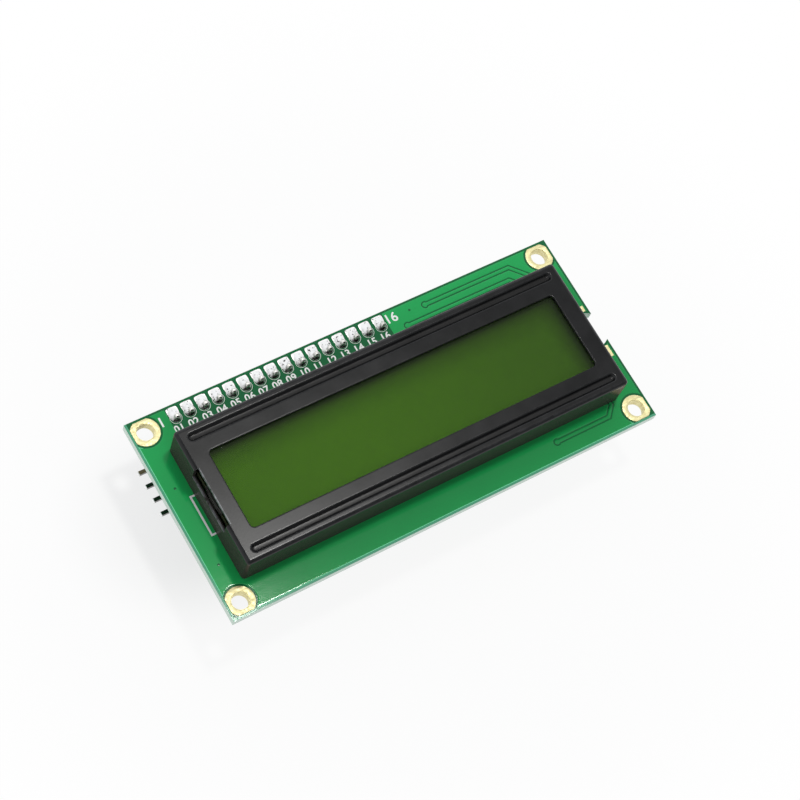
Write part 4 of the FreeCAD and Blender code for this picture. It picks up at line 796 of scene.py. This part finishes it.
# Tabs run down out of the wall, through the board, and fold outwards behind it.
def tabMesh(sign):
    look = tab
    sheet, back = shell["sheet"], -board["thickness"]
    inner, outer = shell["halfWidth"] - sheet, shell["halfWidth"]
    side = [(inner + look["clear"], look["into"])]
    side += arcPoints((inner + look["heel"], back - sheet + look["heel"]), look["heel"], 180, 270, 5)
    side += [(outer + look["foot"], back - sheet), (outer + look["foot"], back),
             (outer - look["clear"], back), (outer - look["clear"], look["into"])]
    work = bmesh.new()
    for middle in look["places"]:
        x = (middle - look["width"] / 2) * mm
        near = [work.verts.new((x, (shell["middleY"] + sign * y) * mm, z * mm)) for y, z in side]
        drawOut(work, near, (look["width"] * mm, 0, 0))
    return mergedMesh(meshOf(work))


# Boxes that cut the slot in the left wall, and the two notches over the backlight leads in the right one.
def cutterMesh():
    end, middle = shell["halfLength"], shell["middleY"]
    boxes = [((-end - 1, middle - shell["slotHalf"], shell["slotFoot"]),
              (-end + shell["slotDepth"], middle + shell["slotHalf"], shell["top"] + 1))]
    for y in (middle - shell["leadY"], middle + shell["leadY"]):
        boxes.append(((end - 1, y - shell["leadHalf"], -1),
                      (end + 1, y + shell["leadHalf"], shell["leadTop"])))
    work = bmesh.new()
    for low, high in boxes:
        for vert in bmesh.ops.create_cube(work, size=1)["verts"]:
            vert.co = [(low[n] if vert.co[n] < 0 else high[n]) * mm for n in range(3)]
    return mergedMesh(meshOf(work))


def cutBezel():
    cutter = place("cutter", cutterMesh())
    holder = place("bezel_blank", bezelMesh())
    cut = holder.modifiers.new("cut", "BOOLEAN")
    cut.operation = "DIFFERENCE"
    cut.solver = "EXACT"
    cut.object = cutter
    mesh = plainMesh(holder)
    bpy.data.objects.remove(cutter)
    return mesh


bezel = joinMeshes([cutBezel(), tabMesh(-1), tabMesh(1)])
keepPiece("pressed_bezel", bezel, "stovedBlackEnamel", replaced=("bezel",), sharpAbove=40)
print("bezel done")

# smooth copies of the resin domes
for dome in ("controller_dome", "driver_dome"):
    smooth = mergedMesh(nodes[dome].data.copy())
    keepPiece(dome + "_smooth", smooth, "sealingResin", replaced=(dome,), sharpAbove=40)
print("domes done")

# Solder along the pins. The neck and the darkening run along a joint, from -1 at its foot to 1 at its end.
solder = {
    "halfWidth": 1.0, "footReach": 0.62, "endReach": 2.1, "height": 1.02, "shape": 1.7, "square": 0.975,
    "sink": 0.02, "neck": 0.74, "neckFrom": -0.2, "neckTo": 0.7, "stain": 1.8, "stainFrom": 0.3,
    "stainTo": -0.25, "unevenness": 0.15, "unevenSize": 0.5, "unevenAbove": 0.35, "seed": 4.0, "rings": 18,
    "segments": 36,
}

# How a ball's point becomes a heap's: each row names a value and gives its operation on values before it.
heapSteps = (
    ("squareY", "MULTIPLY", "y", "y"),
    ("towardsEnd", "GREATER_THAN", "y", 0.0),
    ("squaring", "MULTIPLY", solder["square"], "towardsEnd"),
    ("narrowing", "MULTIPLY", "squareY", "squaring"),
    ("oval", "SUBTRACT", 1.0, "narrowing"),
    ("ovalWidth", "SQRT", "oval"),
    ("squareX", "DIVIDE", "x", "ovalWidth"),
    ("neckedX", "MULTIPLY", "squareX", "neck"),
    ("flatX", "MULTIPLY", "neckedX", "Half width"),
    ("extraReach", "SUBTRACT", "End reach", "Foot reach"),
    ("reach", "MULTIPLY_ADD", "towardsEnd", "extraReach", "Foot reach"),
    ("flatY", "MULTIPLY", "y", "reach"),
    ("spreadSquare", "MULTIPLY_ADD", "x", "x", "squareY"),
    ("spread", "SQRT", "spreadSquare"),
    ("within", "MINIMUM", "spread", 1.0),
    ("inwards", "SUBTRACT", 1.0, "within"),
    ("cone", "POWER", "inwards", solder["shape"]),
    ("rise", "MULTIPLY", "Height", "cone"),
    ("isTop", "GREATER_THAN", "z", 0.0),
    ("topZ", "MULTIPLY", "rise", "isTop"),
    ("isUnder", "SUBTRACT", 1.0, "isTop"),
    ("flatZ", "MULTIPLY_ADD", "isUnder", -solder["sink"] * mm, "topZ"),
)


# One joint: a ball pressed to the pad's outline, drawn up to a point at the pin and darker at its foot.
def heapNode(add, given):
    ball = add("GeometryNodeMeshUVSphere", {
        "Segments": solder["segments"], "Rings": solder["rings"], "Radius": 1.0})
    x, y, z = add("ShaderNodeSeparateXYZ", {0: add("GeometryNodeInputPosition")}).outputs
    neck = add("ShaderNodeMapRange", {"Value": y, "From Min": solder["neckFrom"],
                                      "From Max": solder["neckTo"], "To Min": solder["neck"]},
               **eased)
    values = {**dict(given.items()), "x": x, "y": y, "z": z, "neck": neck}
    for name, operation, *terms in heapSteps:
        inputs = {n: values[term] if isinstance(term, str) else term for n, term in enumerate(terms)}
        values[name] = add("ShaderNodeMath", inputs, operation=operation)
    shaped = add("ShaderNodeCombineXYZ", {0: values["flatX"], 1: values["flatY"], 2: values["flatZ"]})
    stain = add("ShaderNodeMapRange", {"Value": y, "From Min": solder["stainFrom"],
                                       "From Max": solder["stainTo"], "To Max": solder["stain"]},
                **eased)
    marked = add("GeometryNodeStoreNamedAttribute", {
        "Geometry": ball, "Name": "flux", "Value": stain}, data_type="FLOAT", domain="POINT")
    return add("GeometryNodeSetPosition", {"Geometry": marked, "Position": shaped})


# Noise moves what stands clear of the board, so that every joint is a little different.
def unevenNode(add, given, row):
    spot = add("GeometryNodeInputPosition")
    noise = add("ShaderNodeTexNoise", {
        "Vector": spot, "W": given["Seed"], "Scale": 1 / (solder["unevenSize"] * mm), "Detail": 1.0},
        noise_dimensions="4D")
    centred = add("ShaderNodeVectorMath", {
        0: noise.outputs["Color"], 1: (0.5, 0.5, 0.5)}, operation="SUBTRACT")
    most = add("ShaderNodeMath", {0: given["Unevenness"], 1: 2.0}, operation="MULTIPLY")
    level = add("ShaderNodeSeparateXYZ", {0: spot}).outputs["Z"]
    amount = add("ShaderNodeMapRange", {
        "Value": level, "From Max": solder["unevenAbove"] * mm, "To Max": most})
    shift = add("ShaderNodeVectorMath", {0: centred, "Scale": amount}, operation="SCALE")
    return add("GeometryNodeSetPosition", {"Geometry": row, "Offset": shift})


# One tree lays a joint at each pin.
def solderTree():
    tree = bpy.data.node_groups.new("solderRow", "GeometryNodeTree")
    tree.interface.new_socket("Geometry", in_out="OUTPUT", socket_type="NodeSocketGeometry")
    add = partial(addNode, tree)
    inputs = {
        "Pins": pins["count"], "Pitch": pins["pitch"] * mm, "Half width": solder["halfWidth"] * mm,
        "Foot reach": solder["footReach"] * mm, "End reach": solder["endReach"] * mm,
        "Height": solder["height"] * mm, "Unevenness": solder["unevenness"] * mm, "Seed": solder["seed"],
    }
    for name, value in inputs.items():
        kind = "NodeSocketInt" if isinstance(value, int) else "NodeSocketFloat"
        tree.interface.new_socket(name, in_out="INPUT", socket_type=kind).default_value = value
    given = add("NodeGroupInput").outputs
    step = add("ShaderNodeCombineXYZ", {0: given["Pitch"]})
    row = add("GeometryNodeMeshLine", {
        "Count": given["Pins"], "Offset": step, "Start Location": (pins["firstX"] * mm, pins["y"] * mm, 0)})
    copies = add("GeometryNodeInstanceOnPoints", {"Points": row, "Instance": heapNode(add, given)})
    real = add("GeometryNodeRealizeInstances", {0: copies})
    smooth = add("GeometryNodeSetShadeSmooth", {"Geometry": unevenNode(add, given, real)})
    coated = add("GeometryNodeSetMaterial", {"Geometry": smooth, "Material": materials["brightSolder"]})
    add("NodeGroupOutput", {0: coated})
    return tree


def meshFromTree(tree):
    holder = place("fromTree", bpy.data.meshes.new("fromTree"))
    modifier = holder.modifiers.new("nodes", "NODES")
    modifier.node_group = tree
    for item in tree.interface.items_tree:
        if item.in_out == "INPUT":
            modifier[item.identifier] = item.default_value
    return plainMesh(holder)


# A thin white ring round each joint: the pale rim of laminate at the mask's opening, drawn white all round
# as a painted highlight on its edge.
opening = {"radius": 1.02, "line": 0.07, "thickness": 0.012, "slope": 0.012, "shiftY": 0.15}
openingHighlights = []
for x in pinPlaces:
    loops = [circlePoints((x, pins["y"] + opening["shiftY"]), opening["radius"] - inset, 40)
             for inset in (0, opening["line"])]
    openingHighlights.append(plateMesh(loops, 0, opening["thickness"], opening["slope"]))
keepPiece("mask_openings", joinMeshes(openingHighlights), "screenInk", sharpAbove=60)
keepPiece("solder_row", meshFromTree(solderTree()), "brightSolder",
          replaced=("front_solder_joints",))
print("solder done")

# What each part of the CAD model is made of.
madeOf = {
    "solderMaskOnLaminate": "main_board", "blueMask": "adapter_board", "stovedBlackEnamel": "bezel",
    "crystalLayer": "rear_glass", "polarisingFilm": "front_polariser rear_polariser",
    "bondedGlass": "front_glass", "guideAcrylic": "light_guide", "smokedResin": "glass_end_seal",
    "contactSilicone": "upper_contact_strip lower_contact_strip", "reflectorFilm": "reflector_film",
    "lampLaminate": "lamp_board power_lamp_base", "milkyResin": "backlight_lamps",
    "redResin": "power_lamp_lens", "sealingResin": "controller_dome driver_dome",
    "resistorGlaze": "board_resistors adapter_resistors",
    "firedCeramic": "board_capacitors adapter_capacitors",
    "mouldedNylon": "header_strip side_strip jumper_strip jumper_cap",
    "mouldedEpoxy": "bus_chip backlight_transistor", "trimmerPolyester": "trimmer_housing",
    "firedAlumina": "trimmer_element", "rotorAcetal": "contrast_rotor",
    "nickelPaintedShadeAndTips": "side_pins jumper_pins",
    "brightSolder": "backlight_solder front_solder_joints adapter_solder_joints through_solder_joints",
    "tinPlate": "backlight_leads board_part_ends header_pins bus_chip_leads trimmer_pins "
                "jumper_clip adapter_part_ends transistor_leads",
}
for material, names in madeOf.items():
    for slot in [slot for name in names.split() for slot in nodes[name].material_slots]:
        slot.material = materials[material]
print("carried-over parts done")

# Stage, with its lengths in metres. Seen directly the floor glows white, a little less under the left end.
stage = {
    "radius": 3.0, "clearFrom": 0.05, "clearTo": 0.1, "shadeCentre": (-0.036, 0.006), "shadeFrom": 0.008,
    "shadeTo": 0.022, "near": 0.72, "middle": 0.9, "far": 1.0, "white": "#FBFBFB",
}


# Matt white paper swept under the object: even and bright, with soft shadows. From below it is clear.
def paperShader(add, look):
    spot = add("ShaderNodeTexCoord").outputs["Object"]
    away = add("ShaderNodeVectorMath", {0: spot}, operation="LENGTH")
    fromShade = add("ShaderNodeVectorMath", {
        0: spot, 1: (*look["shadeCentre"], cadBox[0].z)}, operation="DISTANCE")
    near = add("ShaderNodeMapRange", {
        "Value": fromShade, "From Min": look["shadeFrom"], "From Max": look["shadeTo"],
        "To Min": look["near"], "To Max": look["middle"]}, **eased)
    far = add("ShaderNodeMapRange", {
        "Value": away, "From Min": look["clearFrom"], "From Max": look["clearTo"], "To Min": near,
        "To Max": look["far"]}, **eased)
    path = add("ShaderNodeLightPath").outputs
    seen = path["Is Camera Ray"]
    for ray in ("Is Glossy Ray", "Is Transmission Ray"):
        seen = add("ShaderNodeMath", {0: seen, 1: path[ray]}, operation="MAXIMUM")
    share = add("ShaderNodeMath", {0: far, 1: seen}, operation="MULTIPLY")
    paper = add("ShaderNodeBsdfDiffuse", {"Color": linear(look["white"])})
    glow = add("ShaderNodeEmission", {"Color": (1, 1, 1, 1), "Strength": 1.0})
    upper = add("ShaderNodeMixShader", {0: share, 1: paper, 2: glow})
    below = add("ShaderNodeNewGeometry").outputs["Backfacing"]
    clear = add("ShaderNodeBsdfTransparent")
    return add("ShaderNodeMixShader", {0: below, 1: upper, 2: clear})


makeMaterial("whitePaperSweep", paperShader, stage)
work = bmesh.new()
bmesh.ops.create_circle(work, cap_ends=True, segments=96, radius=stage["radius"])
bmesh.ops.translate(work, verts=work.verts, vec=(0, 0, cadBox[0].z))
floorMesh = meshOf(work)
floorMesh.materials.append(materials["whitePaperSweep"])
place("floor", floorMesh)

# A small soft box almost overhead, and a room that is white at the horizon and behind, dim above and in
# front. The lamp's power is the share of full white that it alone gives the floor. Its lengths are metres.
light = {
    "towards": (0.19, 0.118, 0.975), "distance": 0.6, "width": 0.07, "power": 0.29, "lampTint": "#FFFEFB",
    "white": 1.0, "dim": 0.42, "backward": 0.55, "fadeFrom": 0.32, "fadeTo": 0.76, "roomTint": "#FAFCFF",
}


def makeRoom():
    world = bpy.data.worlds.new("studio")
    bpy.context.scene.world = world
    world.use_nodes = True
    world.node_tree.nodes.clear()
    add = partial(addNode, world.node_tree)
    upwards = add("ShaderNodeTexCoord").outputs["Generated"]
    height = add("ShaderNodeVectorMath", {
        0: upwards, 1: (0, -light["backward"], 1)}, operation="DOT_PRODUCT")
    level = add("ShaderNodeMapRange", {
        "Value": height, "From Min": light["fadeFrom"], "From Max": light["fadeTo"],
        "To Min": light["white"], "To Max": light["dim"]}, **eased)
    glow = add("ShaderNodeBackground", {"Color": linear(light["roomTint"]), "Strength": level})
    add("ShaderNodeOutputWorld", {"Surface": glow})


def makeLamp():
    lamp = bpy.data.lights.new("softBox", "AREA")
    lamp.shape = "SQUARE"
    lamp.size = light["width"]
    lamp.color = linear(light["lampTint"])[:3]
    direction = Vector(light["towards"]).normalized()
    lamp.energy = light["power"] * (math.pi * light["distance"]) ** 2 / direction.z
    holder = place("softBox", lamp)
    holder.location = direction * light["distance"]
    holder.rotation_euler = direction.to_track_quat("Z", "Y").to_euler()


makeRoom()
makeLamp()

# The photograph's viewpoint, worked out from the board's corners and holes.
viewpoint = {
    "place": (-126.390, -91.471, 309.359), "right": (0.84369, -0.49877, 0.19852),
    "back": (-0.36940, -0.27107, 0.88886), "focalPixels": 2156.87, "picturePixels": 800, "sensor": 36.0,
    "nearest": 0.01, "farthest": 10.0,
}


def makeCamera():
    camera = bpy.data.cameras.new("camera")
    camera.sensor_width = viewpoint["sensor"]
    camera.lens = viewpoint["focalPixels"] / viewpoint["picturePixels"] * camera.sensor_width
    camera.clip_start = viewpoint["nearest"]
    camera.clip_end = viewpoint["farthest"]
    back = Vector(viewpoint["back"]).normalized()
    right = Vector(viewpoint["right"])
    right = (right - back * right.dot(back)).normalized()
    turn = Matrix((right, back.cross(right), back)).transposed().to_4x4()
    holder = place("camera", camera)
    holder.matrix_world = Matrix.Translation(Vector(viewpoint["place"]) * mm) @ turn
    bpy.context.scene.camera = holder


makeCamera()
bpy.context.scene.view_settings.view_transform = "Standard"
print("stage done")

bpy.context.view_layer.update()
